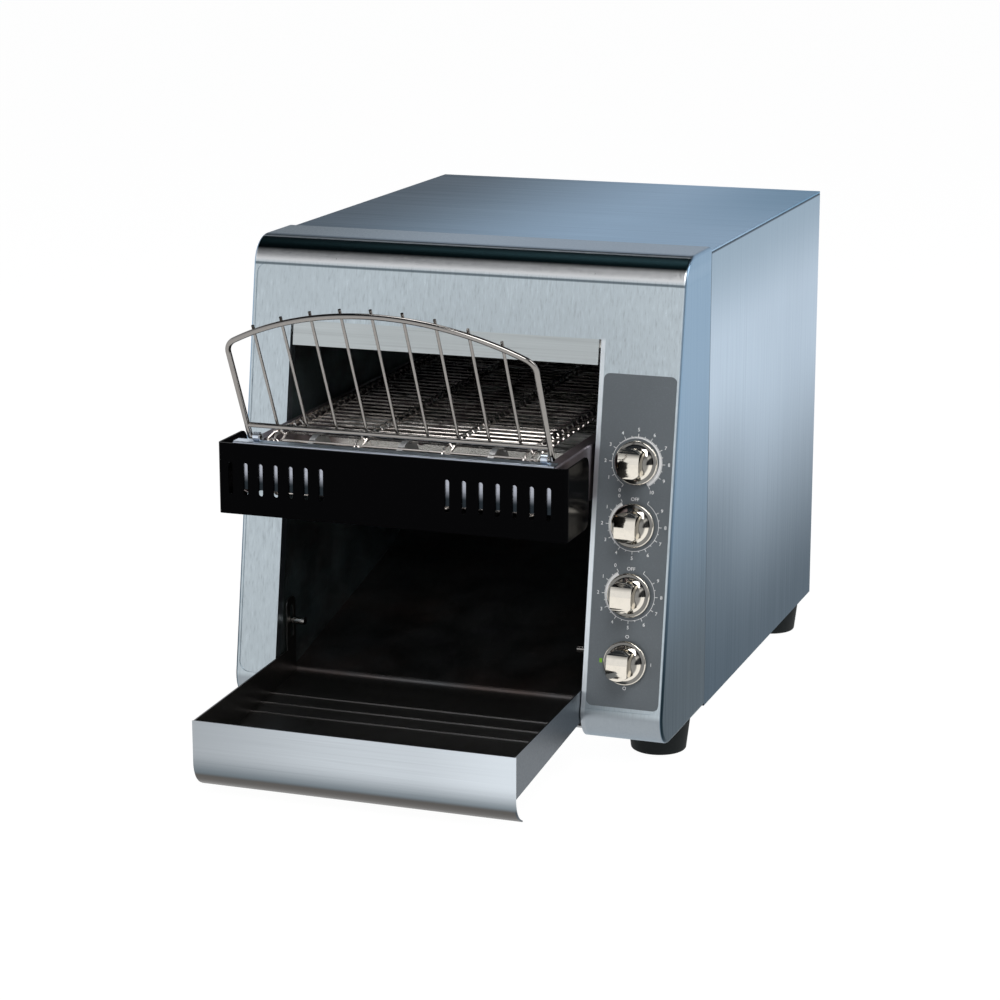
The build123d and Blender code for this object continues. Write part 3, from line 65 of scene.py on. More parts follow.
# ---------------------------------------------------------------- sizes, in metres
belt_pitch = 12.7 * MM
belt_teeth = 12
belt_run_pitches = 34
belt_wire = 1.0 * MM           # radius
belt_edge = 3.0 * MM           # hooks at the belt's edges
belt_joints = (0.03, 0.34, 0.67, 0.97)  # where its wires hook together, as shares of its width
hook_width = 5.0 * MM
hook_reach = 1.9 * MM          # past the wire that a hook holds
hook_wave = 1.9 * MM           # over it, and under it on the way back
upper_tubes = 4                # heating tubes above the belt, and the Y of the first one
upper_first = -45.5 * MM
upper_spacing = 72.0 * MM
upper_tube_z = 315.0 * MM
lower_tubes = 3                # heating tubes below the belt
lower_first = -70.5 * MM
lower_spacing = 100.0 * MM
lower_tube_z = 248.2 * MM
coil_turn = 3.0 * MM
coil_sides = 8                 # straight pieces in one turn
coil_wire = 0.55 * MM
coil_radius = 3.3 * MM
dial_ring = 20.6 * MM          # radius of the line that joins the marks
dial_line = 0.38 * MM
dial_numbers = 26.0 * MM       # radius of the figures' places
dial_words = 20.6 * MM         # and of the words' and letters' places
digit_size = 3.9 * MM
long_mark = 2.3 * MM
short_mark = 1.0 * MM
mark_width = 0.45 * MM
crescent_gap = 0.6 * MM        # between the ring and the wedge of print inside it
arc_step = 5                   # degrees of one straight piece
print_thick = 0.05 * MM
print_bold = 0.04 * MM
overlay_depth = 0.2 * MM       # overlay's face, behind the fascia's front face
knob_sides = 96                # flat pieces round its round forms
knob_flange_radius = 17.6 * MM
knob_flange = 4.0 * MM
knob_flange_round = 1.3 * MM
knob_height = 25.0 * MM
knob_gap = 0.8 * MM            # between the overlay and the knobs
knob_grip_radius = 12.0 * MM
knob_grip_half = 8.5 * MM
knob_grip_round = 0.6 * MM
knob_waist_half = 5.8 * MM
knob_scoop = 20.0 * MM         # radius of the balls that hollow the grip's flanks
knob_crown_radius = 34.0 * MM  # of the grip's end, rounded across the knob
knob_crown_sides = 128
skirt_radius = 24.0 * MM       # of the dome between the flange and the grip
skirt_reach = 16.4 * MM
skirt_rise = 5.0 * MM
painted_knob_rings = (                 # painted shade and dark reflections: from, to and fade along the knob's axis, and share of dark
    (0.2 * MM, 1.2 * MM, 0.3 * MM, 0.8),
    (4.0 * MM, 4.5 * MM, 0.2 * MM, 0.8),
    (6.6 * MM, 8.2 * MM, 0.8 * MM, 0.75),
    (17.5 * MM, 21.8 * MM, 0.7 * MM, 0.85),
)

# ---------------------------------------------------------------- studio
camera_place = (0.7771, -2.2311, 0.7533)
camera_down = 13.779           # degrees
camera_turn = 19.503
camera_lens = 102.54           # millimetres
camera_sensor = 36.0
softbox_target = (0, 0, 0.2)
softboxes = (                  # name, place, size and watts
    ("front_softbox", (0.9, -1.9, 2.3), 1.3, 30),
    ("side_softbox", (2.3, 0.2, 1.9), 1.2, 16),
    ("top_softbox", (-0.4, 0.3, 2.6), 0.9, 12),
)
floor_size = 60
floor_colour = (0.8, 0.8, 0.8, 1)
floor_glow = 1.1
floor_glow_share = 0.88        # the rest is left to the floor's own shadow
horizon_height, horizon_colour = 0.3, (0.9, 0.91, 0.93, 1)
ceiling_height, ceiling_colour = 0.62, (0.02, 0.024, 0.03, 1)
flag_colour = (0.03, 0.032, 0.036, 1)
flag_direction = (cos(radians(-33)), sin(radians(-33)), 0.0)
flag_outer = 0.88              # cosines of the angles where the flag's edge fades
flag_inner = 0.92
sky_white = (1, 1, 1, 1)

# sockets of a Mix node that mixes colours
COLOUR_A, COLOUR_B, COLOUR_OUT = 6, 7, 2


# ---------------------------------------------------------------- finishes
class Finish:
    """A material being built: its patterns lie on object coordinates, in metres."""

    def __init__(self, name, colour, roughness, metallic=0.0):
        self.material = bpy.data.materials.new(name)
        self.material.use_nodes = True
        self.tree = self.material.node_tree
        self.shader = self.tree.nodes["Principled BSDF"]
        self.shader.inputs["Base Color"].default_value = (*colour, 1.0)
        self.shader.inputs["Roughness"].default_value = roughness
        self.shader.inputs["Metallic"].default_value = metallic
        self.material.diffuse_color = (*colour, 1.0)
        self.place = self.tree.nodes.new("ShaderNodeTexCoord").outputs["Object"]

    def wire(self, source, node, socket):
        self.tree.links.new(source, node.inputs[socket])

    def noise(self, per_metre, detail, rough=0.55):
        """Noise with that many waves per metre, as one number or along X, Y and Z."""
        if isinstance(per_metre, float):
            per_metre = (per_metre,) * 3
        mapping = self.tree.nodes.new("ShaderNodeMapping")
        mapping.inputs["Scale"].default_value = per_metre
        self.wire(self.place, mapping, "Vector")
        noise = self.tree.nodes.new("ShaderNodeTexNoise")
        noise.inputs["Scale"].default_value = 1.0
        noise.inputs["Detail"].default_value = detail
        noise.inputs["Roughness"].default_value = rough
        self.wire(mapping.outputs["Vector"], noise, "Vector")
        return noise.outputs["Fac"]

    def fade(self, value, start, end):
        """0 to 1, smoothly, as a value goes from start to end."""
        ramp = self.tree.nodes.new("ShaderNodeMapRange")
        ramp.interpolation_type = "SMOOTHSTEP"
        ramp.inputs["From Min"].default_value = min(start, end)
        ramp.inputs["From Max"].default_value = max(start, end)
        ramp.inputs["To Min"].default_value = float(start > end)
        ramp.inputs["To Max"].default_value = float(start < end)
        self.wire(value, ramp, "Value")
        return ramp.outputs["Result"]

    def along(self, axis, start, end):
        """0 to 1 along one axis, smoothly, between two places in metres."""
        split = self.tree.nodes.new("ShaderNodeSeparateXYZ")
        self.wire(self.place, split, "Vector")
        return self.fade(split.outputs[axis], start, end)

    def towards(self, direction, start, end):
        """0 to 1, smoothly, between two distances from the origin towards a direction."""
        reach = self.tree.nodes.new("ShaderNodeVectorMath")
        reach.operation = "DOT_PRODUCT"
        reach.inputs[1].default_value = direction
        self.wire(self.place, reach, 0)
        return self.fade(reach.outputs["Value"], start, end)

    def both(self, first, second):
        """High only where both factors are high."""
        product = self.tree.nodes.new("ShaderNodeMath")
        product.operation = "MULTIPLY"
        self.wire(first, product, 0)
        self.wire(second, product, 1)
        return product.outputs[0]

    def band(self, axis, low, high, soft):
        """1 between two places along an axis, fading over a soft edge outside them."""
        return self.both(self.along(axis, low - soft, low), self.along(axis, high + soft, high))

    def between(self, factor, low, high, start, end):
        """A number that goes from low to high as a factor goes from start to end."""
        ramp = self.tree.nodes.new("ShaderNodeMapRange")
        ramp.inputs["From Min"].default_value = start
        ramp.inputs["From Max"].default_value = end
        ramp.inputs["To Min"].default_value = low
        ramp.inputs["To Max"].default_value = high
        self.wire(factor, ramp, "Value")
        return ramp.outputs["Result"]

    def steps(self, factor, start, end):
        """A factor sharpened to 0 at start and 1 at end."""
        return self.between(factor, 0.0, 1.0, start, end)

    def sum(self, first, second, share=0.5):
        """Two patterns in one, the second with that share."""
        mix = self.tree.nodes.new("ShaderNodeMix")
        mix.inputs["Factor"].default_value = share
        self.wire(first, mix, "A")
        self.wire(second, mix, "B")
        return mix.outputs["Result"]

    def tint(self, factor, colour, limit):
        """Mix another colour over the base colour, up to a limit where a factor is high."""
        mix = self.tree.nodes.new("ShaderNodeMix")
        mix.data_type = "RGBA"
        base = self.shader.inputs["Base Color"]
        if base.links:
            self.wire(base.links[0].from_socket, mix, COLOUR_A)
        else:
            mix.inputs[COLOUR_A].default_value = base.default_value
        mix.inputs[COLOUR_B].default_value = (*colour, 1.0)
        self.wire(self.between(factor, 0.0, limit, 0.0, 1.0), mix, "Factor")
        self.tree.links.new(mix.outputs[COLOUR_OUT], base)

    def tints(self, *rows):
        """Several tints in a row, each a factor, a colour and a limit."""
        for factor, colour, limit in rows:
            self.tint(factor, colour, limit)

    def rough(self, factor, low, high):
        """Roughness from low to high over the range where a noise mostly lies."""
        self.wire(self.between(factor, low, high, 0.3, 0.7), self.shader, "Roughness")

    def bump(self, height, depth):
        """Relief of that depth in metres."""
        bump = self.tree.nodes.new("ShaderNodeBump")
        bump.inputs["Strength"].default_value = 1.0
        bump.inputs["Distance"].default_value = depth
        self.wire(height, bump, "Height")
        self.wire(bump.outputs["Normal"], self.shader, "Normal")

    def reflect(self, colour):
        """Tint of the reflections at a low angle."""
        self.shader.inputs["Specular Tint"].default_value = (*colour, 1.0)

    def shine(self, level):
        """Strength of the reflections on paint, plastic and rubber."""
        self.shader.inputs["Specular IOR Level"].default_value = level


def scaled(colour, share):
    return tuple(min(1.0, channel * share) for channel in colour)


def brushed(name, colour, axis, roughness, contrast=1.0):
    """Steel sheet, drawn with its grain along X, Y or Z, as 0, 1 or 2."""
    finish = Finish(name, colour, roughness, metallic=1.0)
    layers = []
    for across, along, detail in ((1000.0, 9.0, 2.0), (420.0, 2.5, 3.0)):
        per_metre = [across] * 3
        per_metre[axis] = along
        layers.append(finish.noise(per_metre, detail))
    grain = finish.sum(*layers, 0.45)
    finish.tint(finish.steps(grain, 0.47, 0.25), scaled(colour, 0.72), 0.75 * contrast)
    finish.tint(finish.steps(grain, 0.53, 0.77), scaled(colour, 1.25), 0.6 * contrast)
    cloud = finish.noise(5.0, 2.0)
    finish.tint(finish.steps(cloud, 0.4, 0.75), scaled(colour, 0.9), 0.5)
    finish.rough(grain, roughness + 0.07, roughness - 0.07)
    finish.bump(grain, 0.00002)
    return finish


def plain_steel(name, colour, roughness=0.42):
    """Mill-finished sheet with faint clouds and rolling marks."""
    finish = Finish(name, colour, roughness, metallic=1.0)
    cloud = finish.noise(28.0, 5.0, 0.6)
    marks = finish.noise((15.0, 700.0, 15.0), 2.0)
    finish.tint(finish.steps(cloud, 0.35, 0.75), scaled(colour, 0.6), 0.8)
    finish.tint(finish.steps(marks, 0.55, 0.8), scaled(colour, 1.2), 0.4)
    finish.rough(cloud, roughness - 0.08, roughness + 0.14)
    finish.bump(finish.sum(cloud, marks), 0.00003)
    return finish


def polished(name, colour, roughness):
    """Plated wire or knob: almost a mirror, with fine wear."""
    finish = Finish(name, colour, roughness, metallic=1.0)
    wear = finish.noise(260.0, 4.0)
    finish.tint(finish.steps(wear, 0.45, 0.8), scaled(colour, 0.8), 0.35)
    finish.rough(finish.noise(90.0, 3.0), roughness * 0.6, roughness * 1.8)
    finish.bump(finish.noise(45.0, 2.0), 0.00002)
    return finish


def coated(name, colour, roughness, depth, fineness):
    """Paint, plastic or rubber with a texture of that depth and that many specks per metre."""
    finish = Finish(name, colour, roughness)
    texture = finish.noise(fineness, 2.0)
    cloud = finish.noise(14.0, 3.0)
    finish.tint(finish.steps(texture, 0.5, 0.8), scaled(colour, 1.5), 0.35)
    finish.tint(finish.steps(cloud, 0.4, 0.8), scaled(colour, 0.75), 0.5)
    finish.rough(cloud, roughness - 0.06, roughness + 0.08)
    finish.bump(texture, depth)
    return finish


fascia_colour = (0.53, 0.60, 0.64)
side_colour = (0.66, 0.77, 0.87)
top_colour = (0.44, 0.59, 0.74)
tray_colour = (0.60, 0.65, 0.695)
line_colour = (0.02, 0.025, 0.03)
painted_shade_colour = (0.05, 0.08, 0.1)
white = (1.0, 1.0, 1.0)

fascia_low, fascia_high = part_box("front_fascia")
overlay_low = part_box("control_overlay")[0]
tray_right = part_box("discharge_tray")[1].x
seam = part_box("right_side_panel")[0].y
cover_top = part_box("top_cover")[1].z
machine_front = cad_box[0][1]
bend_crease = fascia_high.z - 21.0 * MM       # where the front's top bend starts
foot_crease = overlay_low.z - 3.5 * MM        # and its foot's bend
strip_top = 343.0 * MM                        # head of the painted highlight beside the opening


def fascia_finish():
    """Front skin with vertical grain: painted highlights beside the overlay and on its top bend,
    painted shade and a dark painted reflection at its bends and returns.
    """
    finish = brushed("fascia_steel", fascia_colour, 2, 0.34, contrast=1.5)
    finish.reflect((0.75, 0.82, 0.88))
    # painted highlight: a light band beside the overlay, up to the head of the opening
    painted_highlight_strip = finish.both(
        finish.band("X", overlay_low.x - 3.8 * MM, overlay_low.x - 0.6 * MM, 0.2 * MM),
        finish.along("Z", strip_top + 2 * MM, strip_top - 2 * MM))
    # painted shade on the bend down to the foot, and on the lower left
    foot = finish.along("Z", foot_crease, foot_crease - 5 * MM)
    left_low_shade = finish.both(finish.along("X", -0.1, -0.15), finish.along("Z", 0.17, 0.07))
    # painted light and shade on the top bend: a highlight on its bead, a shade line at its fold, a
    # dark reflection above, a highlight line near the top edge and shade on the flat top return,
    # darkest to the left
    bend_highlight = finish.along("Z", bend_crease, bend_crease + 4.5 * MM)
    crease_shade = finish.band("Z", bend_crease - 0.8 * MM, bend_crease + 0.4 * MM, 0.9 * MM)
    bend_dark_reflection = finish.along("Z", bend_crease + 8.5 * MM, bend_crease + 12.5 * MM)
    top_line = finish.band("Z", fascia_high.z - 1.5 * MM, fascia_high.z - 1.0 * MM, 0.2 * MM)
    flat = finish.along("Z", fascia_high.z - 0.8 * MM, fascia_high.z - 0.3 * MM)
    flat_left_shade = finish.both(flat, finish.along("X", 0.02, -0.19))
    finish.tints(
        (painted_highlight_strip, (0.82, 0.86, 0.89), 0.75),
        (foot, (0.27, 0.3, 0.33), 0.85),
        (left_low_shade, scaled(fascia_colour, 0.6), 0.25),
        (bend_highlight, white, 0.9),
        (crease_shade, painted_shade_colour, 0.75),
        (bend_dark_reflection, (0.004, 0.011, 0.013), 1.0),
        (top_line, (0.6, 0.65, 0.7), 0.8),
        (flat, (0.3, 0.36, 0.43), 1.0),
        (flat_left_shade, (0.03, 0.045, 0.055), 0.9),
    )
    # painted shade on the side returns, near black towards the foot
    for edge, inward in ((fascia_high.x, -MM), (fascia_low.x, MM)):
        return_shade = finish.along("X", edge + 2.4 * inward, edge + 1.2 * inward)
        return_low_shade = finish.both(return_shade, finish.along("Z", 0.33, 0.05))
        finish.tint(return_shade, (0.27, 0.4, 0.54), 0.97)
        finish.tint(return_low_shade, (0.006, 0.015, 0.02), 0.98)
    return finish.material


def side_finish():
    """Bluish side sheet with painted shade towards its foot, its front and its top, and dark lines
    at its top edge and its seam.
    """
    finish = brushed("side_steel", side_colour, 2, 0.38, contrast=0.8)
    finish.reflect((0.6, 0.65, 0.72))
    # painted shade: darker towards the foot, the lower front and the top
    low = finish.along("Z", 0.30, 0.03)
    front_low_shade = finish.both(finish.along("Y", seam + 0.2, seam), finish.along("Z", 0.3, 0.15))
    high = finish.along("Z", 0.32, 0.405)
    top_line = finish.along("Z", cover_top - 4 * MM, cover_top - 2.5 * MM)
    seam_line = finish.along("Y", seam + 1.5 * MM, seam + 0.6 * MM)
    finish.tints(
        (low, (0.075, 0.105, 0.125), 1.0),
        (front_low_shade, painted_shade_colour, 0.55),
        (high, (0.39, 0.5, 0.585), 0.9),
        (top_line, line_colour, 0.85),
        (seam_line, line_colour, 0.9),
    )
    return finish.material


def top_finish():
    """Blue-grey cover, its grain across the machine, with painted shade on its left and at its rear
    right.
    """
    finish = brushed("cover_steel", top_colour, 0, 0.38, contrast=0.9)
    finish.reflect((0.62, 0.72, 0.82))
    # painted shade at the rear right and, near black, towards the left
    rear_right_shade = finish.both(finish.along("X", 0.05, 0.18), finish.along("Y", 0.0, 0.3))
    left = finish.along("X", 0.08, -0.19)
    finish.tints((rear_right_shade, (0.2, 0.36, 0.5), 0.9), (left, (0.01, 0.02, 0.03), 1.0))
    return finish.material


def tray_finish():
    """Tray sheet with painted light on its right and painted shade on its left, where its face
    curls and on its inner right wall; darker inside.
    """
    finish = brushed("tray_steel", tray_colour, 0, 0.36)
    # painted shade to the left, painted light to the right and painted shade where the face curls
    left = finish.along("X", 0.03, -0.18)
    right = finish.along("X", 0.03, 0.12)
    curl_shade = finish.along("Z", 0.039, 0.015)
    inside = finish.along("Y", machine_front + 1.3 * MM, machine_front + 3.0 * MM)
    spots = finish.steps(finish.noise(60.0, 5.0, 0.6), 0.55, 0.8)
    stains = finish.both(inside, spots)
    # painted shade on the inner right wall
    right_wall_shade = finish.both(
        inside, finish.along("X", tray_right - 1.6 * MM, tray_right - 0.6 * MM))
    finish.tints(
        (left, scaled(tray_colour, 0.6), 0.95),
        (right, scaled(tray_colour, 1.18), 0.9),
        (curl_shade, (0.10, 0.13, 0.15), 0.97),
        (inside, (0.10, 0.088, 0.078), 0.85),
        (stains, (0.12, 0.1, 0.085), 0.35),
        (right_wall_shade, (0.05, 0.075, 0.1), 0.8),
    )
    return finish.material


def heated_finish(name, colour):
    """Sheet near the heaters, browned and blued in clouds."""
    finish = plain_steel(name, colour)
    straw = finish.noise((11.0, 9.0, 17.0), 3.0)
    finish.tint(finish.steps(straw, 0.45, 0.7), (0.16, 0.1, 0.08), 0.6)
    finish.tint(finish.steps(straw, 0.4, 0.2), (0.075, 0.065, 0.1), 0.6)
    return finish.material


def overlay_finish():
    """Slate-coloured film."""
    finish = coated("slate_overlay", (0.145, 0.166, 0.182), 0.42, 0.00001, 900.0)
    finish.shine(0.4)
    return finish.material


def guard_finish():
    """Gloss black enamel with a slight orange peel."""
    finish = Finish("black_enamel", (0.002, 0.002, 0.0024), 0.14)
    finish.shine(0.01)
    peel = finish.noise(220.0, 2.0)
    dust = finish.noise(900.0, 4.0, 0.7)
    finish.tint(finish.steps(dust, 0.7, 0.85), (0.02, 0.02, 0.02), 0.4)
    finish.rough(peel, 0.10, 0.18)
    finish.bump(peel, 0.00002)
    return finish.material


def bar_finish():
    """Front bar and clips, with a painted highlight along the top and painted shade darkening them
    below.
    """
    finish = brushed("bar_steel", (0.42, 0.44, 0.5), 0, 0.3)
    bar_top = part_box("conveyor_front_bar")[1].z
    # painted highlight along the top and painted shade on the face below
    top = finish.along("Z", bar_top - 1.4 * MM, bar_top - 0.6 * MM)
    low = finish.along("Z", bar_top - 21 * MM, bar_top - 33 * MM)
    finish.tints((top, (0.72, 0.8, 0.9), 0.85), (low, (0.008, 0.014, 0.018), 0.97))
    return finish.material


def belt_finish():
    """Bright wire, darkened by painted shade inside the tunnel."""
    finish = polished("belt_wire_steel", (0.64, 0.59, 0.55), 0.2)
    # painted shade inside the tunnel
    finish.tint(finish.along("Y", seam - 0.13, seam + 0.05), (0.085, 0.08, 0.078), 0.9)
    return finish.material


def chrome_finish():
    """Bent wire and pins, plated and a little dulled."""
    finish = polished("chrome_plate", (0.3, 0.285, 0.27), 0.1)
    finish.reflect((0.6, 0.6, 0.6))
    return finish.material


def nickel_finish():
    """Warm polished nickel, with painted shade and dark reflections in rings round the knob's skirt
    and below the grip's end.
    """
    finish = polished("nickel_plate", (0.82, 0.77, 0.68), 0.07)
    joint = joints["power_turn"]
    outward = Vector(joint["axis"]).normalized()
    base = Vector(joint["pos_m"]).dot(outward) - overlay_depth + knob_gap
    # painted shade and dark reflections, in rings along the knob's axis
    for low, high, soft, share in painted_knob_rings:
        ring = finish.both(finish.towards(outward, base + low - soft, base + low),
                           finish.towards(outward, base + high + soft, base + high))
        finish.tint(ring, (0.05, 0.055, 0.06), share)
    return finish.material


def rubber_finish():
    """Matt black rubber."""
    finish = coated("black_rubber", (0.006, 0.009, 0.0095), 0.72, 0.00005, 700.0)
    finish.shine(0.25)
    return finish.material


def quartz_finish():
    """Milky quartz."""
    finish = Finish("milky_quartz", (0.86, 0.86, 0.84), 0.25)
    finish.shader.inputs["Transmission Weight"].default_value = 0.75
    finish.shader.inputs["IOR"].default_value = 1.46
    streak = finish.noise((20.0, 500.0, 500.0), 2.0)
    finish.rough(streak, 0.18, 0.4)
    finish.bump(streak, 0.00002)
    return finish.material


finishes = {
    "fascia": fascia_finish(),
    "lintel": brushed("lintel_steel", (0.53, 0.57, 0.575), 0, 0.34).material,
    "side": side_finish(),
    "top": top_finish(),
    "rear": brushed("rear_steel", (0.42, 0.46, 0.5), 2, 0.4).material,
    "tray": tray_finish(),
    "pan": plain_steel("galvanised_pan", (0.42, 0.43, 0.44), 0.46).material,
    "tunnel": heated_finish("tunnel_steel", (0.34, 0.44, 0.46)),
    "plate": heated_finish("conveyor_steel", (0.26, 0.22, 0.24)),
    "chute": heated_finish("chute_steel", (0.16, 0.165, 0.17)),
    "bar": bar_finish(),
    "reflector": polished("reflector_aluminium", (0.75, 0.74, 0.7), 0.18).material,
    "chrome": chrome_finish(),
    "nickel": nickel_finish(),
    "belt": belt_finish(),
    "zinc": plain_steel("zinc_plate", (0.5, 0.5, 0.5), 0.36).material,
    "enamel": guard_finish(),
    "overlay": overlay_finish(),
    "rubber": rubber_finish(),
    "quartz": quartz_finish(),
    "coil": plain_steel("resistance_wire", (0.24, 0.19, 0.16), 0.5).material,
    "ceramic": coated("glazed_ceramic", (0.78, 0.74, 0.66), 0.3, 0.00002, 400.0).material,
    "plastic": coated("black_plastic", (0.02, 0.02, 0.022), 0.45, 0.00002, 1000.0).material,
    "cream_plastic": coated("cream_plastic", (0.5, 0.46, 0.36), 0.5, 0.00002, 1000.0).material,
    "casting": coated("grey_casting", (0.2, 0.21, 0.22), 0.55, 0.0001, 500.0).material,
    "bronze": plain_steel("sintered_bronze", (0.4, 0.25, 0.12), 0.45).material,
    "print": coated("white_print", white, 0.5, 0.000005, 1500.0).material,
    "green": coated("green_print", (0.22, 0.52, 0.03), 0.5, 0.000005, 1500.0).material,
}

finish_of = {
    "front_fascia": "fascia", "lintel_strip": "lintel", "top_cover": "top",
    "left_side_panel": "side", "right_side_panel": "side", "rear_panel": "rear", "base_pan": "pan",
    "front_left_foot": "rubber", "front_right_foot": "rubber",
    "rear_left_foot": "rubber", "rear_right_foot": "rubber",
    "left_tunnel_wall": "tunnel", "right_tunnel_wall": "tunnel", "tunnel_ceiling": "tunnel",
    "left_conveyor_plate": "plate", "right_conveyor_plate": "plate", "conveyor_front_bar": "bar",
    "conveyor_belt": "belt", "belt_support_rails": "plate", "idler_sprockets": "zinc",
    "drive_sprockets": "zinc", "idler_shaft": "zinc", "drive_shaft": "zinc",
    "shaft_bushes": "bronze",
    "quartz_tubes": "quartz", "heater_coils": "coil", "ceramic_end_caps": "ceramic",
    "upper_reflector": "reflector", "lower_reflector": "reflector", "discharge_chute": "chute",
    "discharge_tray": "tray", "tray_pins": "chrome", "heat_guard": "enamel",
    "frame_spacers": "zinc",
    "loading_rack": "chrome", "rack_clips": "bar", "control_overlay": "overlay",
    "speed_regulator": "cream_plastic", "top_heat_regulator": "cream_plastic",
    "bottom_heat_regulator": "cream_plastic", "power_switch": "plastic",
    "speed_spindle": "bronze", "top_heat_spindle": "bronze", "bottom_heat_spindle": "bronze",
    "power_spindle": "bronze", "speed_knob": "nickel", "top_heat_knob": "nickel",
    "bottom_heat_knob": "nickel", "power_knob": "nickel", "drive_chain": "zinc",
    "driven_sprocket": "zinc", "motor_sprocket": "zinc", "motor_shaft": "zinc",
    "gear_motor": "casting", "motor_bracket": "pan", "fan_frame": "plastic", "fan_rotor": "plastic",
    "cord_gland": "plastic", "terminal_block": "cream_plastic", "machine_screws": "zinc",
}
for node_name, finish_name in finish_of.items():
    mesh = nodes[node_name].data
    mesh.materials.clear()
    mesh.materials.append(finishes[finish_name])


# ---------------------------------------------------------------- ways of making pieces
def deselect_all():
    bpy.ops.object.select_all(action="DESELECT")


def only(piece):
    deselect_all()
    piece.select_set(True)
    bpy.context.view_layer.objects.active = piece


def added(primitive, **settings):
    """Add a primitive with nothing else selected, its place in its mesh."""
    deselect_all()
    primitive(**settings)
    bpy.ops.object.transform_apply(location=True, rotation=True, scale=True)
    return bpy.context.object


def dress(piece, name, finish, body):
    """Name a finished piece, give it its finish and let it ride on its body."""
    piece.name = name
    piece.data.materials.clear()
    piece.data.materials.append(finishes[finish])
    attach(piece, body)


def join(pieces):
    """Join meshes into the first one."""
    deselect_all()
    for piece in pieces:
        piece.select_set(True)
    bpy.context.view_layer.objects.active = pieces[0]
    bpy.ops.object.join()
    return pieces[0]


def copy_of(piece, place):
    """Another piece with a mesh of its own, moved by a matrix."""
    other = piece.copy()
    other.data = piece.data.copy()
    bpy.context.collection.objects.link(other)
    other.data.transform(place)
    return other


def smooth(piece, degrees=40):
    """Shade smoothly, but for edges sharper than that angle."""
    only(piece)
    bpy.ops.object.shade_smooth_by_angle(angle=radians(degrees))


def modify(piece, kind, **settings):
    """Add a modifier and apply it."""
    only(piece)
    modifier = piece.modifiers.new(kind.title(), kind)
    for key, value in settings.items():
        setattr(modifier, key, value)
    bpy.ops.object.modifier_apply(modifier=modifier.name)


def bent_wire(points, radius, roundness):
    """Wire bent along points: a point pulled from place to place, then given its thickness."""
    deselect_all()
    bpy.ops.mesh.primitive_plane_add(size=radius)
    wire = bpy.context.object
    bpy.ops.object.mode_set(mode="EDIT")
    bpy.ops.mesh.merge(type="CENTER")
    bpy.ops.transform.translate(value=points[0])
    for here, there in zip(points, points[1:]):
        step = Vector(there) - Vector(here)
        bpy.ops.mesh.extrude_region_move(TRANSFORM_OT_translate={"value": step})
    bpy.ops.object.mode_set(mode="OBJECT")
    bpy.ops.object.convert(target="CURVE")
    wire.data.bevel_depth = radius
    wire.data.bevel_resolution = roundness
    wire.data.use_fill_caps = True
    bpy.ops.object.convert(target="MESH")
    smooth(wire)
    return wire


# ---------------------------------------------------------------- wire belt
belt_low, belt_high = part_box("conveyor_belt")
wheel_radius = belt_pitch / (2 * sin(pi / belt_teeth))
idler_centre = Vector(joints["idler_spin"]["pos_m"])
drive_centre = Vector(joints["drive_spin"]["pos_m"])


def loop_places():
    """Where the belt's wires lie, in order round its two wheels."""
    half = [
        Vector((0, idler_centre.y + i * belt_pitch, idler_centre.z + wheel_radius))
        for i in range(belt_run_pitches)
    ]
    for i in range(belt_teeth // 2):
        turn = 2 * pi * i / belt_teeth
        half.append(drive_centre + Vector((0, wheel_radius * sin(turn), wheel_radius * cos(turn))))
    both = idler_centre + drive_centre
    return half + [both - place for place in half]


def hook(x):
    """Points of one hook, which goes back over the wire behind it and returns under it."""
    half = hook_width / 2
    bends = [
        (1.25 * half, 0, 0),
        (half, -0.12 * belt_pitch, 0.3 * hook_wave),
        (0.9 * half, -0.8 * belt_pitch, hook_wave),
        (0.75 * half, -belt_pitch, hook_wave),
        (0.3 * half, -belt_pitch - hook_reach, 0.6 * hook_wave),
    ]
    there = [(x - across, back, up) for across, back, up in bends]
    return there + [(x + across, back, -up) for across, back, up in reversed(bends)]


def make_belt():
    """Flat wire belt: each wire hooks round the one behind it at four joints and both edges."""
    left, right = belt_low.x + belt_edge, belt_high.x - belt_edge
    edge_bends = [
        (-0.4 * belt_edge, 0, 0),
        (0.3 * belt_edge, -0.15 * belt_pitch, 0),
        (0.6 * belt_edge, -belt_pitch, 0),
        (0, -belt_pitch - hook_reach, -hook_wave),
    ]
    points = [(left - out, back, up) for out, back, up in reversed(edge_bends)]
    for share in belt_joints:
        points += hook(left + share * (right - left))
    points += [(right + out, back, up) for out, back, up in edge_bends]
    strand = bent_wire(points, belt_wire, 1)
    places = loop_places()
    strands = []
    for place, before in zip(places, [places[-1]] + places[:-1]):
        step = place - before
        turn = Matrix.Rotation(atan2(step.z, step.y), 4, "X")
        strands.append(copy_of(strand, Matrix.Translation(place) @ turn))
    bpy.data.objects.remove(strand)
    belt = join(strands)
    dress(belt, "wire_belt", "belt", "casing")
    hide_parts("conveyor_belt")


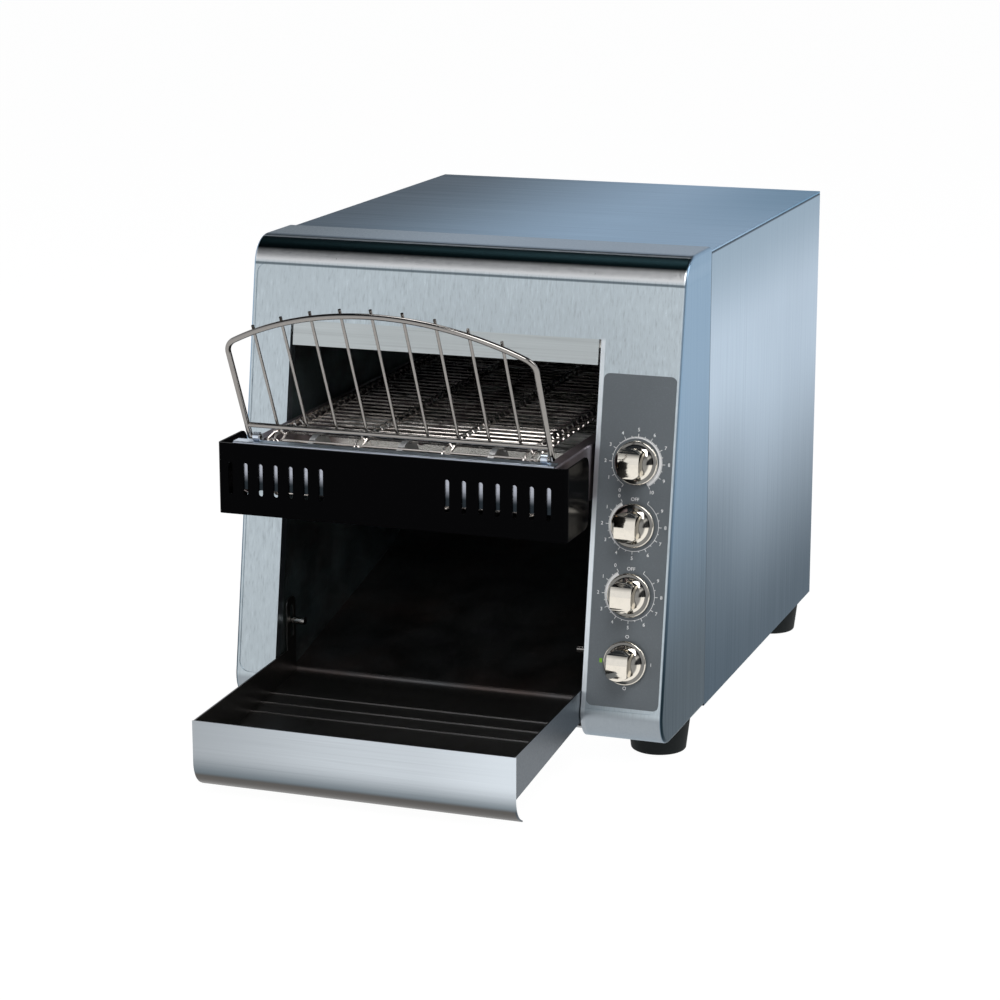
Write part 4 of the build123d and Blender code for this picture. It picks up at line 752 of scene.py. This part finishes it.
# ---------------------------------------------------------------- heating elements
def make_coils():
    """Wound wire inside each quartz tube."""
    low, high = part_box("quartz_tubes")
    tube_places = [(upper_first + i * upper_spacing, upper_tube_z) for i in range(upper_tubes)]
    tube_places += [(lower_first + i * lower_spacing, lower_tube_z) for i in range(lower_tubes)]
    turns = int((high.x - low.x) / coil_turn)
    points = []
    for i in range(turns * coil_sides):
        angle = 2 * pi * i / coil_sides
        points.append((low.x + i * coil_turn / coil_sides,
                       coil_radius * cos(angle), coil_radius * sin(angle)))
    deselect_all()
    bpy.ops.curve.primitive_nurbs_path_add()
    helix = bpy.context.object
    helix.data.splines.clear()
    spline = helix.data.splines.new("POLY")
    spline.points.add(len(points) - 1)
    for point, place in zip(spline.points, points):
        point.co = (*place, 1.0)
    helix.data.bevel_depth = coil_wire
    helix.data.bevel_resolution = 0
    bpy.ops.object.convert(target="MESH")
    coils = [copy_of(helix, Matrix.Translation((0, y, z))) for y, z in tube_places]
    bpy.data.objects.remove(helix)
    elements = join(coils)
    dress(elements, "wound_elements", "coil", "casing")
    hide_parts("heater_coils")


# ---------------------------------------------------------------- knobs
def knob_place(joint_name):
    """Matrix from a knob's own axes, Z outwards and Y up the fascia, to the machine's."""
    joint = joints[joint_name]
    outward = Vector(joint["axis"]).normalized()
    right = Vector((1, 0, 0))
    up = outward.cross(right)
    matrix = Matrix((right, up, outward)).transposed().to_4x4()
    matrix.translation = Vector(joint["pos_m"]) - outward * overlay_depth
    return matrix


def shape(piece, operation, tool):
    """Cut a piece with a tool, or keep what lies inside the tool, and use the tool up."""
    modify(piece, "BOOLEAN", operation=operation, object=tool)
    bpy.data.objects.remove(tool)


def make_knob():
    """Knob on its own axes: flange, domed skirt, and grip with hollow flanks and rounded end."""
    flange = added(
        bpy.ops.mesh.primitive_cylinder_add, vertices=knob_sides, radius=knob_flange_radius,
        depth=knob_flange, location=(0, 0, knob_flange / 2))
    modify(flange, "BEVEL", width=knob_flange_round, segments=4, limit_method="ANGLE")
    skirt = added(
        bpy.ops.mesh.primitive_uv_sphere_add, segments=knob_sides, ring_count=knob_sides // 2,
        radius=skirt_radius, location=(0, 0, knob_flange + skirt_rise - skirt_radius))
    shape(skirt, "INTERSECT", added(
        bpy.ops.mesh.primitive_cylinder_add, vertices=knob_sides, radius=skirt_reach,
        depth=knob_height, location=(0, 0, knob_flange / 2 + knob_height / 2)))
    grip_depth = knob_height - knob_flange / 2
    grip = added(
        bpy.ops.mesh.primitive_cylinder_add, vertices=knob_sides, radius=knob_grip_radius,
        depth=grip_depth, location=(0, 0, knob_height - grip_depth / 2))
    grip_middle = (knob_height + knob_flange) / 2
    for side in (-1, 1):
        shape(grip, "DIFFERENCE", added(
            bpy.ops.mesh.primitive_uv_sphere_add, segments=knob_sides, ring_count=64,
            radius=knob_scoop, location=(side * (knob_waist_half + knob_scoop), 0, grip_middle)))
        shape(grip, "DIFFERENCE", added(
            bpy.ops.mesh.primitive_cube_add, size=2 * knob_scoop,
            location=(side * (knob_grip_half + knob_scoop), 0, knob_height)))
    shape(grip, "INTERSECT", added(
        bpy.ops.mesh.primitive_cylinder_add, vertices=knob_crown_sides, radius=knob_crown_radius,
        depth=4 * knob_grip_radius, rotation=(0, pi / 2, 0),
        location=(0, 0, knob_height - knob_crown_radius)))
    modify(grip, "BEVEL", width=knob_grip_round, segments=3, limit_method="ANGLE",
           angle_limit=radians(30))
    return join([flange, skirt, grip])


def make_knobs():
    """One knob, copied to its four places."""
    pattern = make_knob()
    for name in ("speed", "top_heat", "bottom_heat", "power"):
        place = knob_place(f"{name}_turn") @ Matrix.Translation((0, 0, knob_gap))
        knob = copy_of(pattern, place)
        smooth(knob, degrees=35)
        dress(knob, f"{name}_polished_knob", "nickel", f"{name}_control")
        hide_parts(f"{name}_knob")
    bpy.data.objects.remove(pattern)


# ---------------------------------------------------------------- printed dials
def printed(words, x, y, place):
    """Plain figures, printed flat at (x, y) on a dial's own axes."""
    deselect_all()
    bpy.ops.object.text_add()
    letters = bpy.context.object
    letters.data.body = words
    letters.data.size = digit_size
    letters.data.extrude = print_thick / 2
    letters.data.offset = print_bold
    letters.data.align_x = "CENTER"
    letters.data.align_y = "CENTER"
    letters.data.resolution_u = 6
    bpy.ops.object.convert(target="MESH")
    letters.data.transform(place @ Matrix.Translation((x, y, print_thick)))
    return letters


def printed_bar(inner, outer, angle, width, place):
    """Straight mark from one radius to another, clockwise from the top by that angle."""
    bar = added(bpy.ops.mesh.primitive_cube_add, size=1, scale=(width, outer - inner, print_thick),
                location=(0, (inner + outer) / 2, print_thick))
    bar.data.transform(Matrix.Rotation(-radians(angle), 4, "Z"))
    bar.data.transform(place)
    return bar


def printed_arc(outer, start, end, start_width, end_width, place):
    """Arc on a dial, clockwise from the top in degrees, its width changing inwards along it."""
    deselect_all()
    bpy.ops.mesh.primitive_plane_add()
    arc = bpy.context.object
    bpy.ops.object.mode_set(mode="EDIT")
    bpy.ops.mesh.delete(type="VERT")
    bpy.ops.object.mode_set(mode="OBJECT")
    corners = []
    steps = int(abs(end - start) / arc_step)
    for i in range(steps + 1):
        share = i / steps
        angle = radians(start + share * (end - start))
        width = start_width + share * (end_width - start_width)
        for radius in (outer - width, outer):
            corners.append((radius * sin(angle), radius * cos(angle), print_thick))
    faces = [(2 * i, 2 * i + 2, 2 * i + 3, 2 * i + 1) for i in range(steps)]
    arc.data.from_pydata(corners, [], faces)
    arc.data.transform(place)
    return arc


def make_dial(name, marks, numbers_at, words_at, arc, crescent):
    """One dial: figures, words, marks, the line that joins the marks and a wedge of print.

    The line has a start and an end, and the wedge also its widths there.
    """
    place = knob_place(f"{name}_turn")
    prints = []
    figures = [(dial_numbers, *figure) for figure in numbers_at]
    figures += [(dial_words, *figure) for figure in words_at]
    for radius, degrees, words in figures:
        angle = radians(degrees)
        prints.append(printed(words, radius * sin(angle), radius * cos(angle), place))
    for degrees, length in marks:
        prints.append(printed_bar(dial_ring, dial_ring + length, degrees, mark_width, place))
    if arc:
        prints.append(printed_arc(dial_ring, *arc, dial_line, dial_line, place))
    if crescent:
        prints.append(printed_arc(dial_ring - crescent_gap, *crescent, place))
    dial = join(prints)
    dress(dial, f"{name}_dial_print", "print", "casing")


def make_dials():
    """Prints round the four knobs, with angles in degrees, clockwise from the top."""
    speed = [(-150 + 30 * i, str(i)) for i in range(11)]
    marks = [(degrees, long_mark) for degrees, _ in speed]
    marks += [(-135 + 30 * i, short_mark) for i in range(10)]
    make_dial("speed", marks, speed, [], (-150, 150), (-45, 152, 0.1 * MM, 3.0 * MM))
    heat = [(-30 - 30 * i, str(i)) for i in range(10)]
    marks = [(degrees, long_mark) for degrees, _ in heat]
    marks += [(-45 - 30 * i, short_mark) for i in range(9)] + [(-330, long_mark)]
    for name in ("top_heat", "bottom_heat"):
        make_dial(name, marks, heat, [(0, "OFF")], (-30, -330),
                  (-32, -150, 2.6 * MM, 0.1 * MM))
    make_dial("power", [], [], [(0, "O"), (90, "I"), (180, "O")], None, None)
    mark = printed_bar(dial_words - 1.2 * MM, dial_words + 1.2 * MM, -90, 3.4 * MM,
                       knob_place("power_turn"))
    dress(mark, "power_dial_mark", "green", "casing")


make_belt()
make_coils()
make_knobs()
make_dials()


# ---------------------------------------------------------------- floor, light and camera
def make_floor():
    """Pale floor, white to the eye and in reflections, that keeps a soft shadow."""
    deselect_all()
    bpy.ops.mesh.primitive_plane_add(size=floor_size)
    floor = bpy.context.object
    floor.name = "studio_floor"
    material = bpy.data.materials.new("studio_floor")
    material.use_nodes = True
    tree = material.node_tree
    tree.nodes.clear()
    link = tree.links.new
    output = tree.nodes.new("ShaderNodeOutputMaterial")
    paint = tree.nodes.new("ShaderNodeBsdfDiffuse")
    paint.inputs["Color"].default_value = floor_colour
    glow = tree.nodes.new("ShaderNodeEmission")
    glow.inputs["Strength"].default_value = floor_glow
    path = tree.nodes.new("ShaderNodeLightPath")
    seen = path.outputs["Is Camera Ray"]
    for ray in ("Is Glossy Ray", "Is Transmission Ray"):
        either = tree.nodes.new("ShaderNodeMath")
        either.operation = "MAXIMUM"
        link(seen, either.inputs[0])
        link(path.outputs[ray], either.inputs[1])
        seen = either.outputs[0]
    share = tree.nodes.new("ShaderNodeMath")
    share.operation = "MULTIPLY"
    share.inputs[1].default_value = floor_glow_share
    mix = tree.nodes.new("ShaderNodeMixShader")
    link(seen, share.inputs[0])
    link(share.outputs[0], mix.inputs[0])
    link(paint.outputs[0], mix.inputs[1])
    link(glow.outputs[0], mix.inputs[2])
    link(mix.outputs[0], output.inputs["Surface"])
    floor.data.materials.append(material)


def make_world():
    """White to the camera. Reflections see a pale horizon, a dark ceiling and a dark flag."""
    world = bpy.data.worlds.new("studio")
    bpy.context.scene.world = world
    world.use_nodes = True
    tree = world.node_tree
    tree.nodes.clear()
    link = tree.links.new
    output = tree.nodes.new("ShaderNodeOutputWorld")
    background = tree.nodes.new("ShaderNodeBackground")
    direction = tree.nodes.new("ShaderNodeTexCoord").outputs["Generated"]
    split = tree.nodes.new("ShaderNodeSeparateXYZ")
    ramp = tree.nodes.new("ShaderNodeValToRGB")
    horizon, ceiling = ramp.color_ramp.elements
    horizon.position, horizon.color = horizon_height, horizon_colour
    ceiling.position, ceiling.color = ceiling_height, ceiling_colour
    towards_flag = tree.nodes.new("ShaderNodeVectorMath")
    towards_flag.operation = "DOT_PRODUCT"
    towards_flag.inputs[1].default_value = flag_direction
    flag_edge = tree.nodes.new("ShaderNodeMapRange")
    flag_edge.inputs["From Min"].default_value = flag_outer
    flag_edge.inputs["From Max"].default_value = flag_inner
    flag = tree.nodes.new("ShaderNodeMix")
    flag.data_type = "RGBA"
    flag.inputs[COLOUR_B].default_value = flag_colour
    path = tree.nodes.new("ShaderNodeLightPath")
    sky = tree.nodes.new("ShaderNodeMix")
    sky.data_type = "RGBA"
    sky.inputs[COLOUR_B].default_value = sky_white
    link(direction, towards_flag.inputs[0])
    link(towards_flag.outputs["Value"], flag_edge.inputs["Value"])
    link(flag_edge.outputs["Result"], flag.inputs["Factor"])
    link(direction, split.inputs[0])
    link(split.outputs["Z"], ramp.inputs["Fac"])
    link(ramp.outputs["Color"], flag.inputs[COLOUR_A])
    link(flag.outputs[COLOUR_OUT], sky.inputs[COLOUR_A])
    link(path.outputs["Is Camera Ray"], sky.inputs["Factor"])
    link(sky.outputs[COLOUR_OUT], background.inputs["Color"])
    link(background.outputs[0], output.inputs["Surface"])


def make_light(name, place, size, watts):
    """Square softbox aimed at the machine."""
    light = bpy.data.lights.new(name, "AREA")
    light.size = size
    light.energy = watts
    lamp = bpy.data.objects.new(name, light)
    bpy.context.collection.objects.link(lamp)
    lamp.location = place
    aim = Vector(softbox_target) - Vector(place)
    lamp.rotation_euler = aim.to_track_quat("-Z", "Y").to_euler()


def make_camera():
    """Camera before the machine's right half, looking down and to the left."""
    camera = bpy.data.objects.new("camera", bpy.data.cameras.new("camera"))
    bpy.context.collection.objects.link(camera)
    camera.location = camera_place
    camera.rotation_euler = (radians(90 - camera_down), 0, radians(camera_turn))
    camera.data.lens = camera_lens
    camera.data.sensor_width = camera_sensor
    bpy.context.scene.camera = camera


make_floor()
make_world()
for softbox in softboxes:
    make_light(*softbox)
make_camera()
bpy.context.scene.view_settings.view_transform = "Standard"
